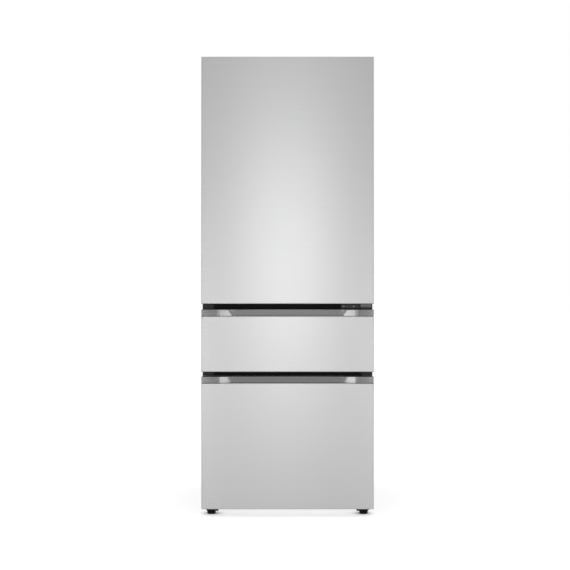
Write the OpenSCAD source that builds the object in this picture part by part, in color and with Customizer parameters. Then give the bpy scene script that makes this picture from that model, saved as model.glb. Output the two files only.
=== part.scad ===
// Stand-type kimchi refrigerator: one hinged upper door and two drawers.
// Millimetres. +X right, +Y to the back, +Z up, origin on the floor under the middle.

/* [Body] */
// Width across the fronts and the cabinet
body_w = 666; // [620:1:700]
// Height from the floor to the top of the upper door
body_h = 1780; // [1700:1:1860]
// Depth from the faces of the fronts to the rear covers
body_d = 730; // [700:1:780]
// Depth kept behind the cabinet for the rear covers
rear_proud = 10; // [9:0.5:20]

/* [Fronts] */
// Thickness of the door and of both drawer fronts
front_t = 60; // [54:1:64]
// Gap between the fronts and the cabinet, closed by the gaskets
gasket_gap = 10; // [9:0.5:12]
// Gap between the floor and the lower front
floor_gap = 32; // [31:1:38]
// Height of the lower drawer front with its grip
lower_front_h = 512; // [490:1:530]
// Gap between the two drawer fronts
drawer_gap = 18; // [14:1:24]
// Height of the middle drawer front with its grip
middle_front_h = 241; // [232:1:262]
// Gap between the middle front and the upper door, where the mid hinge sits
hinge_gap = 22; // [21:1:28]
// Sheet thickness of the steel skins
skin_t = 0.8; // [0.6:0.1:1.2]
// Radius of the skins' rolled edges
edge_r = 4; // [2.5:0.5:6]
// Depth of the plastic pan that closes the back of a front
pan_d = 15; // [12:0.5:18]
// How far a drawer's inner plate stands out of its pan
plate_rise = 8; // [5:0.5:12]

/* [Grips] */
// Height of a grip strip
grip_h = 25; // [22:0.5:32]
// Width of the flush end of a grip strip
grip_end_w = 57; // [45:1:80]
// Length of the arc between the flush end and the recessed middle
grip_arc_w = 75; // [60:1:110]
// Depth of the recessed middle
grip_recess = 9; // [6:0.5:12]
// Wall thickness round the finger trough
grip_wall = 4; // [3:0.5:5]

/* [Gaskets] */
// Width of a gasket
gasket_w = 16; // [13:0.5:17]
// Clearance between a closed gasket and the cabinet
gasket_clear = 0.3; // [0.2:0.05:0.6]
// Distance from a front's edge to its gasket, above and below
gasket_inset = 8; // [6:0.5:10]

/* [Door hinge] */
// Distance from the door's right edge to the hinge pins
pin_inset = 22; // [20:0.5:24]
// Distance from the door's face to the hinge pins
pin_back = 34; // [31:0.5:35]
// Radius of the hinge pins
pin_r = 5; // [4:0.5:6]
// Radial clearance of the pins in the door
pin_clear = 0.05; // [0.02:0.01:0.1]
// Length of a pin inside the door
pin_reach = 25; // [18:1:35]
// Thickness of the hinge plates
hinge_plate_t = 4; // [3:0.5:5]
// Height of the top hinge and its cover above the cabinet
hinge_rise = 16; // [14:0.5:20]

/* [Cabinet] */
// Height of the cabinet's underside above the floor
cab_lift = 30; // [29:0.5:34]
// Sheet thickness of the cabinet
sheet_t = 1; // [0.8:0.1:1.2]
// Insulation in the side walls
wall_side = 50; // [46:1:56]
// Insulation above the upper room
wall_top = 60; // [50:1:75]
// Insulation behind the upper room
wall_back = 60; // [45:1:80]
// Insulation and base under the lower room
wall_bottom = 50; // [46:1:60]
// Extra wall depth behind the middle drawer, for its cold plate
middle_wall_extra = 80; // [60:1:110]
// Wall thickness of the plastic liners
liner_t = 2.5; // [2:0.1:3.5]
// Width of a liner's lip round its opening
lip_w = 6; // [5:0.5:8]

/* [Upper room] */
// Number of glass shelves
shelf_count = 3; // [2:1:4]
// Thickness of a shelf
shelf_t = 5; // [4:0.5:8]
// Depth of the air duct behind the upper room
duct_d = 70; // [64:1:80]
// Thickness of the duct panel
duct_t = 3; // [2:0.5:4]
// Number of bins on the door
bin_count = 3; // [2:1:3]
// Depth of a door bin
bin_d = 90; // [75:1:105]
// Height of a door bin
bin_h = 85; // [60:1:100]
// Wall thickness of a door bin
bin_wall = 3; // [2:0.5:4]
// Depth of the ridge round the door's inner side
ridge_d = 38; // [30:1:46]
// Width of that ridge
ridge_w = 25; // [20:1:30]
// Clearance between that ridge and the walls of the room
ridge_clear = 10; // [8:0.5:14]

/* [Drawers] */
// Stacked width of a telescopic rail
rail_w = 14; // [13:0.5:18]
// Half the height of a rail
rail_half = 23; // [20:0.5:28]
// Sheet thickness of a rail
rail_t = 1.5; // [1.2:0.1:2]
// Running gap between the members of a rail
rail_gap = 0.5; // [0.3:0.1:0.8]
// Height from the rail's middle to the basket's rim
rail_drop = 40; // [35:1:48]
// Height of the middle basket
middle_basket_h = 90; // [80:1:110]
// Height of the lower basket
lower_basket_h = 300; // [240:1:360]
// Wall thickness of the baskets
basket_wall = 2.5; // [2:0.5:4]
// Wall thickness of the kimchi containers
tub_wall = 2.5; // [2:0.5:4]
// Height of a middle container without its lid
middle_tub_h = 138; // [110:1:145]
// Height of a lower container without its lid
lower_tub_h = 170; // [140:1:180]
// Height of a lid
lid_h = 14; // [10:1:18]
// Gap between containers
tub_gap = 4; // [3:0.5:8]

/* [Machine room] */
// Depth of the machine room
machine_d = 180; // [174:1:200]
// Height of the machine room's ceiling above the floor
machine_z1 = 285; // [270:1:310]
// Insulation in front of the machine room
machine_wall = 45; // [35:1:60]
// Radius of the compressor's shell
compressor_r = 74; // [60:1:78]
// Height of the compressor's shell
compressor_h = 165; // [140:1:175]
// Radius of the condenser fan
fan_r = 72; // [60:1:76]
// Radius of the evaporator fan
cold_fan_r = 62; // [50:1:66]
// Radius of the cord inlet's bore
inlet_r = 5; // [4:0.5:6]

/* [Feet and rollers] */
// Radius of a levelling foot's pad
foot_r = 16.7; // [14:0.1:20]
// Height of a foot's pad
foot_h = 13; // [11:0.5:15]
// Radius of a foot's stud
stud_r = 5; // [4:0.5:6]
// Radius of a rear roller
roller_r = 14; // [12:0.1:14]
// Width of a rear roller
roller_w = 20; // [16:1:26]
// Radius of a roller's axle
axle_r = 3; // [2.5:0.5:4]

/* [Hidden] */
$fn = 48;
cut = 1; // overshoot of a cut past the face it opens

// cabinet and fronts, front to back
half_w = body_w / 2;
front_y = -body_d / 2;
front_back_y = front_y + front_t;
skin_back_y = front_back_y - pan_d;
cab_y0 = front_back_y + gasket_gap;
cab_y1 = body_d / 2 - rear_proud;
panel_y0 = cab_y1 - 2 * sheet_t; // front face of the back panel
panel_y1 = cab_y1 - sheet_t;

// cabinet and fronts, floor to top
cab_z0 = cab_lift;
cab_z1 = body_h - hinge_rise;
base_z0 = cab_z0 + sheet_t; // underside of the base plate
base_z1 = base_z0 + sheet_t;
lower_z0 = floor_gap;
lower_z1 = lower_z0 + lower_front_h;
middle_z0 = lower_z1 + drawer_gap;
middle_z1 = middle_z0 + middle_front_h;
upper_z0 = middle_z1 + hinge_gap;
upper_z1 = body_h;

// rooms inside the liners
seal_band = gasket_inset + gasket_w + lip_w;
room_x = half_w - wall_side;
flange_x = room_x + lip_w; // where the liners' lips meet the steel
upper_room = [upper_z0 + seal_band, cab_z1 - wall_top];
middle_room = [middle_z0 + seal_band, middle_z1 - seal_band];
lower_room = [cab_z0 + wall_bottom, lower_z1 - seal_band];
machine_y0 = cab_y1 - machine_d;
upper_room_y1 = cab_y1 - wall_back;
middle_room_y1 = upper_room_y1 - middle_wall_extra;
lower_room_y1 = machine_y0 - machine_wall;

// gaskets
gasket_margin = 2; // steel that shows inside the gasket
gasket_x = flange_x + gasket_margin + gasket_w; // outer edge
gasket_t = gasket_gap - gasket_clear;
gasket_edge = 4; // steel left above the upper gasket

// door hinge
pin_x = half_w - pin_inset;
pin_y = front_y + pin_back;
bore_r = pin_r + pin_clear;
arm_wall = 5; // metal round the pin in the top hinge's arm
arm_half = pin_r + arm_wall;
notch_clear = 4; // room beside the arm
arm_drop = 3; // from the arm's underside to the notch's floor
notch_x0 = pin_x - arm_half - notch_clear;
notch_inset = 8; // metal left in front of the notch
notch_y0 = front_y + notch_inset;
notch_z0 = cab_z1 - arm_drop;
plate_left = 56; // top hinge plate, left and right of the pin
plate_right = 14;
plate_inset = 5; // from the cabinet's front to the plate
plate_d = 70;
hinge_plate = [pin_x - plate_left, pin_x + plate_right,
               cab_y0 + plate_inset, cab_y0 + plate_inset + plate_d]; // x0, x1, y0, y1
cover_wall = 2;
mid_clear = 3; // from the fronts to the mid hinge's plate
mid_z0 = middle_z1 + mid_clear;
mid_z1 = upper_z0 - mid_clear;
mid_left = 101; // mid hinge plate, left and right of the pin
mid_right = 18;
mid_plate_x0 = pin_x - mid_left;
mid_plate_x1 = pin_x + mid_right;
tongue_lift = 5; // from the drawer below to the tongue
tongue_t = 5;
tongue_left = 26; // tongue, left and right of the pin
tongue_right = 14;
tongue_front = 12; // tongue in front of the pin
tongue_z0 = middle_z1 + tongue_lift;
tongue_z1 = tongue_z0 + tongue_t;
stopper_w = 41.4;
stopper_d = 28;
stopper_offset = 7; // from the pin to the stopper's middle
stopper_clear = 0.5; // from the stopper to the door

// screws: pan heads on plain shanks
screw_r = 2.5;
screw_head_r = 6;
screw_head_h = 3;
screw_clear = 0.1;
screw_len = 14;
screw_edge = 14; // from a plate's edge to a screw
front_screw_edge = 16;
mid_screw_edge = 10;
mid_screw_pitch = 41;
mid_screws = [mid_plate_x0 + mid_screw_edge, mid_plate_x0 + mid_screw_edge + mid_screw_pitch];
mid_screw_z = (mid_z0 + mid_z1) / 2;
top_screws = [[hinge_plate[0] + screw_edge, hinge_plate[3] - screw_edge],
              [hinge_plate[1] - screw_edge, hinge_plate[3] - screw_edge],
              [hinge_plate[0] + screw_edge, hinge_plate[2] + front_screw_edge]];

// upper room fittings
upper_room_h = upper_room[1] - upper_room[0];
shelf_pitch = upper_room_h / (shelf_count + 1);
ridge_x = room_x - ridge_clear;
ridge_z = [upper_room[0] + ridge_clear, upper_room[1] - ridge_clear];
ridge_y1 = front_back_y + ridge_d;
bin_clear = 0.5; // between a bin and the ridge
bin_x = ridge_x - ridge_w - bin_clear;
bin_y1 = front_back_y + bin_d;
bin_lift = 15; // from the ridge to the lowest bin
bin_ledge_w = 8; // ledges that carry the bins
bin_ledge_h = 10;
bin_pitch = (ridge_z[1] - ridge_z[0] - 2 * ridge_w) / bin_count;
ledge_w = 14;
ledge_h = 8;
shelf_gap = 12; // from the closed door's bins to the shelves
shelf_back_gap = 5; // air gap behind the shelves
shelf_y0 = bin_y1 + shelf_gap;
duct_y0 = upper_room_y1 - duct_d;
duct_y1 = duct_y0 + duct_t;
shelf_y1 = duct_y0 - shelf_back_gap;
cold_fan_drop = 48; // from the ceiling to the fan's rim
cold_fan_z = upper_room[1] - cold_fan_r - cold_fan_drop;
cold_fan_w = 22;
cold_motor_l = 27;
cold_motor_gap = 6; // between the fan and its motor
cold_motor_y0 = upper_room_y1 - cold_motor_l;
cold_fan_y1 = cold_motor_y0 - cold_motor_gap;
coil_inset = 63; // from the room's side wall to the evaporator
coil_half = room_x - coil_inset;
coil_lift = 95; // from the room's floor to the evaporator
coil_gap = 60; // from the evaporator to the fan above it
coil_z = [upper_room[0] + coil_lift, cold_fan_z - cold_fan_r - coil_gap];
panel_t = 14; // room control panel

// drawers
basket_x = room_x - rail_w;
basket_y0 = front_back_y + plate_rise;
plate_side = 7; // from a basket's side to the raised plate of its front
plate_x = basket_x - plate_side;
plate_end = 8; // from the room's floor and ceiling to that plate
rail_inset = 6; // from the cabinet's front to the rails
rail_y0 = cab_y0 + rail_inset;
fixed_end = 9; // from a basket's back to the end of each rail member
link_end = 15;
slide_end = 20;
floor_clear = 8; // between a basket and the floor of its room
back_clear = 15; // between a basket and the back of its room
middle_basket_y1 = middle_room_y1 - back_clear;
lower_basket_y1 = lower_room_y1 - back_clear;
middle_basket_z0 = middle_room[0] + floor_clear;
lower_basket_z0 = lower_room[0] + floor_clear;
middle_rail_z = middle_basket_z0 + middle_basket_h - rail_drop;
lower_rail_z = lower_basket_z0 + lower_basket_h - rail_drop;
tub_r = 22;
rim_t = 6;
rim_w = 5;
rim_clear = 0.3; // between a tub's rim and the lid's latches
latch_t = 3;

// machine room
machine_y = (machine_y0 + panel_y0) / 2;
grommet_h = 20;
grommet_r = 11;
mount_x = 84; // grommets, from the compressor's axis
mount_y = 60;
grommet_edge = 14; // from a grommet's axis to the plate's edge
compressor_inset = 163;
compressor_x = half_w - compressor_inset;
compressor_plate_z = base_z1 + grommet_h;
compressor_plate_t = 3;
compressor_z0 = compressor_plate_z + compressor_plate_t;
compressor_z1 = compressor_z0 + compressor_h;
shell_round = 30;
tray_inset = 101;
tray_w = 204;
tray_x = [-half_w + tray_inset, -half_w + tray_inset + tray_w];
tray_h = 24;
tray_wall = 3;
tray_z1 = base_z1 + tray_h;
condenser_gap = 8; // from the tray to the coil
condenser_h = 157;
condenser_z = [tray_z1 + condenser_gap, tray_z1 + condenser_gap + condenser_h];
condenser_rows = 6;
tube_r = 4;
bend_out = 8; // how far the bends stand out of a tube bank's end plates
elbow_grow = 0.8; // extra radius of an elbow
condenser_top_tube = condenser_z[1] - (condenser_z[1] - condenser_z[0]) / condenser_rows / 2;
fan_lift = 100; // from the base to the fan's axis
fan_z = base_z1 + fan_lift;
fan_w = 16;
fan_x0 = 8;
shroud_x1 = 30;
shroud_wall = 12;
shroud_half = fan_r + shroud_wall;
motor_r = 25;
motor_l = 34;
shaft_r = 3;
shaft_clear = 0.05;
shaft_bore = 16; // depth of a motor's shaft bore
shaft_end = 2; // from a shaft's end to the bore's bottom
cold_motor_r = 22;
cold_hub_r = 20;
hub_r = 22;
fan_blades = 5;
pipe_r = 4;
pipe_rise = 28;
pipe_z = compressor_z1 + pipe_rise;

// rear covers
cover_t = 1.5;
cover_y1 = cab_y1 + cover_t;
cover_lap = 2; // how far the cover laps over the back panel
cover_z1 = machine_z1 + cover_lap;
cover_edge = 8; // from the cabinet's side to the cover's screws
cover_screw_x = half_w - cover_edge;
cover_screw_low = 30; // from the cover's lower end to its first screw
cover_screw_high = 25;
cover_screws = [base_z1 + cover_screw_low, (base_z1 + machine_z1) / 2,
                machine_z1 - cover_screw_high];
inlet_inset = 53;
inlet_x = -half_w + inlet_inset;
inlet_lift = 40;
inlet_z = base_z1 + inlet_lift;
board_half = 100;
board_h = 250;
board_drop = 70; // from the cabinet's top to the board box
board_z = [cab_z1 - board_drop - board_h, cab_z1 - board_drop];
board_d = 7;
board_flange = 12;

// feet and rollers
foot_inset = 34; // from the cabinet's side to a foot
foot_back = 84; // from the fronts to a foot
foot_x = half_w - foot_inset;
foot_y = front_y + foot_back;
foot_gap = 0.4; // between the pad and its bracket
stud_gap = 2; // from a stud's top to the cabinet
stud_z1 = cab_z0 - stud_gap;
roller_inset = 63;
roller_back = 60;
roller_x = half_w - roller_inset;
roller_y = cab_y1 - roller_back;
fork_t = 2;

// ---------- shared shapes ----------

module block(x0, x1, y0, y1, z0, z1) {
    translate([x0, y0, z0]) cube([x1 - x0, y1 - y0, z1 - z0]);
}

module rod_x(x0, x1, y, z, r) {
    translate([x0, y, z]) rotate([0, 90, 0]) cylinder(h = x1 - x0, r = r);
}

module rod_y(x, y0, y1, z, r) {
    translate([x, y0, z]) rotate([-90, 0, 0]) cylinder(h = y1 - y0, r = r);
}

module rod_z(x, y, z0, z1, r) {
    translate([x, y, z0]) cylinder(h = z1 - z0, r = r);
}

module both_sides() {
    children();
    mirror([1, 0, 0]) children();
}

// rectangle with four round corners, centred
module round_rect(w, d, r) {
    square([w - 2 * r, d], center = true);
    square([w, d - 2 * r], center = true);
    for (sx = [-1, 1], sy = [-1, 1])
        translate([sx * (w / 2 - r), sy * (d / 2 - r)]) circle(r);
}

// rectangle standing on y = 0 with its two lower corners round
module rolled_profile(w, d, r) {
    translate([-w / 2, r]) square([w, d - r]);
    translate([-w / 2 + r, 0]) square([w - 2 * r, d]);
    for (s = [-1, 1]) translate([s * (w / 2 - r), r]) circle(r);
}

// block whose four front edges are rolled to a radius
module rolled_block(x_half, y0, y1, z0, z1, r) {
    intersection() {
        translate([0, y0, z0]) linear_extrude(z1 - z0) rolled_profile(2 * x_half, y1 - y0, r);
        translate([-x_half, y0, (z0 + z1) / 2]) rotate([0, 90, 0])
            linear_extrude(2 * x_half) rolled_profile(z1 - z0, y1 - y0, r);
    }
}

// steel pan with rolled front edges, open at the back
module skin(z0, z1) {
    difference() {
        rolled_block(half_w, front_y, skin_back_y, z0, z1, edge_r);
        skin_hollow(z0, z1, cut);
    }
}

module skin_hollow(z0, z1, past = 0) {
    rolled_block(half_w - skin_t, front_y + skin_t, skin_back_y + past,
                 z0 + skin_t, z1 - skin_t, edge_r - skin_t);
}

// plastic pan behind a front; inset shrinks it to the space inside its walls
module pan(z0, z1, inset = 0, past = 0) {
    block(-half_w + inset, half_w - inset, skin_back_y - past, front_back_y - inset,
          z0 + inset, z1 - inset);
}

// rectangular ring on the back of a front
module ring_y(x_out, z_out0, z_out1, w, y0, y1) {
    difference() {
        block(-x_out, x_out, y0, y1, z_out0, z_out1);
        block(-x_out + w, x_out - w, y0 - cut, y1 + cut, z_out0 + w, z_out1 - w);
    }
}

module gasket_ring(z0, z1) {
    step = 2;
    ring_y(gasket_x, z0, z1, gasket_w, front_back_y, front_back_y + gasket_t / 2);
    ring_y(gasket_x - step, z0 + step, z1 - step, gasket_w - 2 * step,
           front_back_y + gasket_t / 2, front_back_y + gasket_t);
}

// liner of one room with its lip
module room_liner(z, y1) {
    difference() {
        union() {
            block(-room_x - liner_t, room_x + liner_t, cab_y0, y1 + liner_t,
                  z[0] - liner_t, z[1] + liner_t);
            lip(z);
        }
        block(-room_x, room_x, cab_y0 - cut, y1, z[0], z[1]);
    }
}

module lip(z) {
    block(-flange_x, flange_x, cab_y0, cab_y0 + liner_t, z[0] - lip_w, z[1] + lip_w);
}

// outside of a room's liner, to be cut out of the foam
module room_cavity(z, y1) {
    block(-room_x - liner_t, room_x + liner_t, cab_y0 - cut, y1 + liner_t,
          z[0] - liner_t, z[1] + liner_t);
    lip(z);
}

// one C-shaped rail member on the right wall: web between web_x, flanges to flange_x0..1
module c_member(web_x, flange_xs, half, y0, y1, z) {
    block(web_x[0], web_x[1], y0, y1, z - half, z + half);
    for (s = [-1, 1])
        block(flange_xs[0], flange_xs[1], y0, y1,
              z + s * half - (s > 0 ? rail_t : 0), z + s * half + (s > 0 ? 0 : rail_t));
}

module fixed_member(y1, z) {
    c_member([room_x - rail_t, room_x], [room_x - rail_w + 2 * rail_t, room_x],
             rail_half, rail_y0, y1, z);
}

module link_member(y1, z) {
    x1 = room_x - rail_t - rail_gap;
    c_member([x1 - rail_t, x1], [basket_x + rail_t + rail_gap, x1],
             rail_half - rail_t - rail_gap, rail_y0, y1, z);
}

module slide_member(y1, z) {
    c_member([basket_x, basket_x + rail_t],
             [basket_x, room_x - 2 * (rail_t + rail_gap)],
             rail_half - 2 * (rail_t + rail_gap), front_back_y, y1, z);
}

// tube through a list of points, with round elbows
module pipe_run(points, r) {
    for (i = [0 : len(points) - 2]) {
        step = points[i + 1] - points[i];
        translate(points[i])
            rotate([0, acos(step.z / norm(step)), atan2(step.y, step.x)])
                cylinder(h = norm(step), r = r);
    }
    for (i = [1 : len(points) - 2]) translate(points[i]) sphere(r = r + elbow_grow);
}

// tube bank along X: rods in rows, joined by bends at their ends, through fins and end plates
module tube_bank(x, y, z, rows, cols, fins, foot_z) {
    fin_t = 0.8;
    plate_t = 2;
    row_pitch = (z[1] - z[0]) / rows;
    col_pitch = (y[1] - y[0]) / cols;
    for (c = [0 : cols - 1]) {
        yc = y[0] + (c + 0.5) * col_pitch;
        for (i = [0 : rows - 1])
            rod_x(x[0] - bend_out, x[1] + bend_out, yc, z[0] + (i + 0.5) * row_pitch, tube_r);
        for (i = [0 : rows - 2]) {
            xe = i % 2 == 0 ? x[1] + bend_out : x[0] - bend_out;
            zl = z[0] + (i + 0.5) * row_pitch;
            rod_z(xe, yc, zl, zl + row_pitch, tube_r);
            for (dz = [0, row_pitch]) translate([xe, yc, zl + dz]) sphere(r = tube_r + elbow_grow);
        }
    }
    for (i = [1 : fins])
        translate([x[0] + i * (x[1] - x[0]) / (fins + 1) - fin_t / 2, y[0], z[0]])
            cube([fin_t, y[1] - y[0], z[1] - z[0]]);
    for (xp = [x[0], x[1] - plate_t]) block(xp, xp + plate_t, y[0], y[1], foot_z, z[1]);
}

// fan along +Z: hub from 0 to w, pitched blades, shaft reaching back below 0
module fan_wheel(r, hub_r, w, blades, shaft_l) {
    pitch = 35;
    chord = w / sin(pitch);
    blade_t = 1.6;
    cylinder(h = w, r = hub_r);
    intersection() {
        translate([0, 0, 1]) cylinder(h = w - 2, r = r);
        for (i = [0 : blades - 1])
            rotate([0, 0, i * 360 / blades]) translate([0, 0, w / 2]) rotate([pitch, 0, 0])
                translate([hub_r / 2, -chord / 2, -blade_t / 2]) cube([r, chord, blade_t]);
    }
    translate([0, 0, -shaft_l]) cylinder(h = shaft_l + 1, r = shaft_r);
}

// pan-head screw along +Z, its head standing on z = 0
module screw() {
    rotate_extrude() {
        square([screw_r, screw_head_h]);
        translate([0, -screw_len]) square([screw_r, screw_len]);
        square([screw_head_r, screw_head_h - 1]);
        square([screw_head_r - 1, screw_head_h]);
    }
}

module screw_hole() {
    translate([0, 0, -screw_len - 1]) cylinder(h = screw_len + 2, r = screw_r + screw_clear);
}

// where the screws go; child 0 is drawn at each place
module screw_places() {
    for (x = mid_screws)
        translate([x, cab_y0 - hinge_plate_t, mid_screw_z]) rotate([90, 0, 0]) children(0);
    for (p = top_screws) translate([p[0], p[1], cab_z1 + hinge_plate_t]) children(0);
    for (s = [-1, 1], z = cover_screws)
        translate([s * cover_screw_x, cover_y1, z]) rotate([-90, 0, 0]) children(0);
    for (s = [-1, 1], z = board_z)
        translate([s * (board_half + board_flange / 2), panel_y1 + cover_t, z])
            rotate([-90, 0, 0]) children(0);
}

// ---------- cabinet ----------

module right_side() {
    rear_flange = 15;
    bottom_flange = 20;
    difference() {
        union() {
            block(half_w - sheet_t, half_w, cab_y0, cab_y1, cab_z0, cab_z1 - sheet_t);
            block(flange_x, half_w, cab_y0, cab_y0 + sheet_t, cab_z0, cab_z1 - sheet_t);
            block(half_w - rear_flange, half_w, panel_y1, cab_y1, cab_z0, cab_z1 - sheet_t);
            block(half_w - bottom_flange, half_w, cab_y0, cab_y1, cab_z0, base_z0);
        }
        screw_places() screw_hole();
    }
}

module left_side_panel() {
    color("dimgray") mirror([1, 0, 0]) right_side();
}

module right_side_panel() {
    color("dimgray") right_side();
}

module top_panel() {
    color("dimgray") difference() {
        union() {
            block(-half_w, half_w, cab_y0, cab_y1, cab_z1 - sheet_t, cab_z1);
            block(-flange_x, flange_x, cab_y0, cab_y0 + sheet_t,
                  upper_room[1] + lip_w, cab_z1 - sheet_t);
        }
        screw_places() screw_hole();
    }
}

module back_panel() {
    bead_w = 24;
    bead_h = 3;
    bead_low = 120; // from the machine cover to the beads
    bead_high = 90; // from the beads to the board box
    bead_share = 0.56; // place of the outer beads, as a share of half the width
    bead_z = [machine_z1 + bead_low, board_z[0] - bead_high];
    color("silver") difference() {
        union() {
            block(-half_w + sheet_t, half_w - sheet_t, panel_y0, panel_y1,
                  machine_z1, cab_z1 - sheet_t);
            for (x = [-half_w * bead_share, 0, half_w * bead_share])
                translate([x, panel_y1 - cut / 2, (bead_z[0] + bead_z[1]) / 2]) rotate([-90, 0, 0])
                    linear_extrude(bead_h + cut / 2)
                        round_rect(bead_w, bead_z[1] - bead_z[0], bead_w / 2 - 0.5);
        }
        screw_places() screw_hole();
    }
}

// C-shaped cross rail between the side panels
module cross_rail(z0, z1) {
    t = 1.2;
    return_d = 15;
    block(-flange_x, flange_x, cab_y0, cab_y0 + t, z0, z1);
    block(-flange_x, flange_x, cab_y0, cab_y0 + return_d, z0, z0 + t);
    block(-flange_x, flange_x, cab_y0, cab_y0 + return_d, z1 - t, z1);
}

module front_rails() {
    color("black") difference() {
        union() {
            cross_rail(base_z1, lower_room[0] - lip_w);
            cross_rail(lower_room[1] + lip_w, middle_room[0] - lip_w);
            cross_rail(middle_room[1] + lip_w, upper_room[0] - lip_w);
        }
        screw_places() screw_hole();
    }
}

module machine_base() {
    inner_x = half_w - sheet_t;
    color("lightgray") {
        block(-inner_x, inner_x, cab_y0 + sheet_t, panel_y1, base_z0, base_z1);
        block(-inner_x, inner_x, machine_y0 - sheet_t, machine_y0, base_z0, machine_z1);
        block(-inner_x, inner_x, machine_y0 - sheet_t, panel_y1, machine_z1 - sheet_t, machine_z1);
    }
}

module cabinet_foam() {
    inner_x = half_w - sheet_t;
    color("khaki") difference() {
        block(-inner_x, inner_x, cab_y0 + sheet_t, panel_y0, base_z1, cab_z1 - sheet_t);
        block(-half_w, half_w, machine_y0 - sheet_t, cab_y1, cab_z0, machine_z1);
        room_cavity(upper_room, upper_room_y1);
        room_cavity(middle_room, middle_room_y1);
        room_cavity(lower_room, lower_room_y1);
        front_rails();
        screw_places() screw_hole();
    }
}

// ---------- rooms ----------

function shelf_z(i) = upper_room[0] + (i + 1) * shelf_pitch;

module upper_liner() {
    color("whitesmoke") {
        room_liner(upper_room, upper_room_y1);
        both_sides() for (i = [0 : shelf_count - 1])
            block(room_x - ledge_w, room_x, shelf_y0 + shelf_gap, shelf_y1,
                  shelf_z(i) - ledge_h, shelf_z(i));
    }
}

module middle_liner() {
    color("whitesmoke") room_liner(middle_room, middle_room_y1);
}

module lower_liner() {
    color("whitesmoke") room_liner(lower_room, lower_room_y1);
}

module shelf_glasses() {
    side_clear = 1;
    corner = 8;
    color("lightcyan") for (i = [0 : shelf_count - 1])
        translate([0, (shelf_y0 + shelf_y1) / 2, shelf_z(i)])
            linear_extrude(shelf_t)
                round_rect(2 * (room_x - side_clear), shelf_y1 - shelf_y0, corner);
}

// panel that hides the evaporator, with air slots above each shelf and a round fan grille
module duct_panel() {
    slot_w = 70;
    slot_h = 6;
    slot_pitch = 14;
    slot_drop = 60; // from a shelf to the top slot below it
    slot_share = 0.6; // place of the slots, as a share of the room's half width
    grille_edge = 4;
    grille_rows = 4; // slots above and below the grille's middle
    color("white") difference() {
        block(-room_x, room_x, duct_y0, duct_y1, upper_room[0], upper_room[1]);
        for (i = [0 : shelf_count - 1], s = [-1, 1], row = [0, 1])
            translate([s * room_x * slot_share, 0, shelf_z(i) - slot_drop - row * slot_pitch])
                block(-slot_w / 2, slot_w / 2, duct_y0 - cut, duct_y1 + cut, 0, slot_h);
        intersection() {
            rod_y(0, duct_y0 - cut, duct_y1 + cut, cold_fan_z, cold_fan_r - grille_edge);
            for (k = [-grille_rows : grille_rows])
                block(-cold_fan_r, cold_fan_r, duct_y0 - 2 * cut, duct_y1 + 2 * cut,
                      cold_fan_z + k * slot_pitch - slot_h / 2,
                      cold_fan_z + k * slot_pitch + slot_h / 2);
        }
    }
}

module evaporator() {
    front_clear = 7;
    tube_rows = 8;
    tube_columns = 2;
    fin_count = 20;
    color("silver")
        tube_bank([-coil_half, coil_half], [duct_y1 + front_clear, upper_room_y1], coil_z,
                  tube_rows, tube_columns, fin_count, coil_z[0]);
}

module evaporator_fan_motor() {
    color("dimgray") difference() {
        rod_y(0, cold_motor_y0, upper_room_y1, cold_fan_z, cold_motor_r);
        rod_y(0, cold_motor_y0 - cut, cold_motor_y0 + shaft_bore, cold_fan_z,
              shaft_r + shaft_clear);
    }
}

module evaporator_fan() {
    color("white") translate([0, cold_fan_y1, cold_fan_z]) rotate([90, 0, 0])
        fan_wheel(cold_fan_r, cold_hub_r, cold_fan_w, fan_blades,
                  cold_motor_gap + shaft_bore - shaft_end);
}

// flat touch panel under the ceiling of the upper room
module control_panel() {
    panel_d = 80;
    panel_w = 240;
    overhang = 8; // how far the panel stands in front of the shelves
    corner = 12;
    color("whitesmoke")
        translate([0, shelf_y0 - overhang, upper_room[1] - panel_t]) linear_extrude(panel_t)
            round_rect(panel_w, panel_d, corner);
}

// ---------- door hinges ----------

module top_hinge() {
    color("silver") difference() {
        union() {
            block(hinge_plate[0], hinge_plate[1], hinge_plate[2], hinge_plate[3],
                  cab_z1, cab_z1 + hinge_plate_t);
            block(pin_x - arm_half, pin_x + arm_half, pin_y, hinge_plate[2] + cut,
                  cab_z1, cab_z1 + hinge_plate_t);
            rod_z(pin_x, pin_y, cab_z1, cab_z1 + hinge_plate_t, arm_half);
            rod_z(pin_x, pin_y, notch_z0 - pin_reach, cab_z1 + 1, pin_r);
        }
        screw_places() screw_hole();
    }
}

module top_hinge_cover() {
    left = 7; // how far the cover stands out round the plate
    right = 5;
    rear = 20;
    front_inset = 2;
    top_gap = 4; // from the cover to the level of the door's top
    corner = 6;
    arm_room = 0.5;
    x = [hinge_plate[0] - left, hinge_plate[1] + right];
    y = [hinge_plate[2] + front_inset, hinge_plate[3] + rear];
    z1 = cab_z1 + hinge_rise - top_gap;
    color("dimgray") difference() {
        translate([(x[0] + x[1]) / 2, (y[0] + y[1]) / 2, cab_z1]) linear_extrude(z1 - cab_z1)
            round_rect(x[1] - x[0], y[1] - y[0], corner);
        translate([(x[0] + x[1]) / 2, (y[0] + y[1]) / 2, cab_z1 - cut])
            linear_extrude(z1 - cab_z1 + cut - cover_wall)
                round_rect(x[1] - x[0] - 2 * cover_wall, y[1] - y[0] - 2 * cover_wall,
                           corner - cover_wall);
        block(hinge_plate[0] - arm_room, hinge_plate[1] + arm_room, y[0] - cut,
              y[0] + cover_wall + cut, cab_z1 - cut, cab_z1 + hinge_plate_t + arm_room);
    }
}

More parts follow.
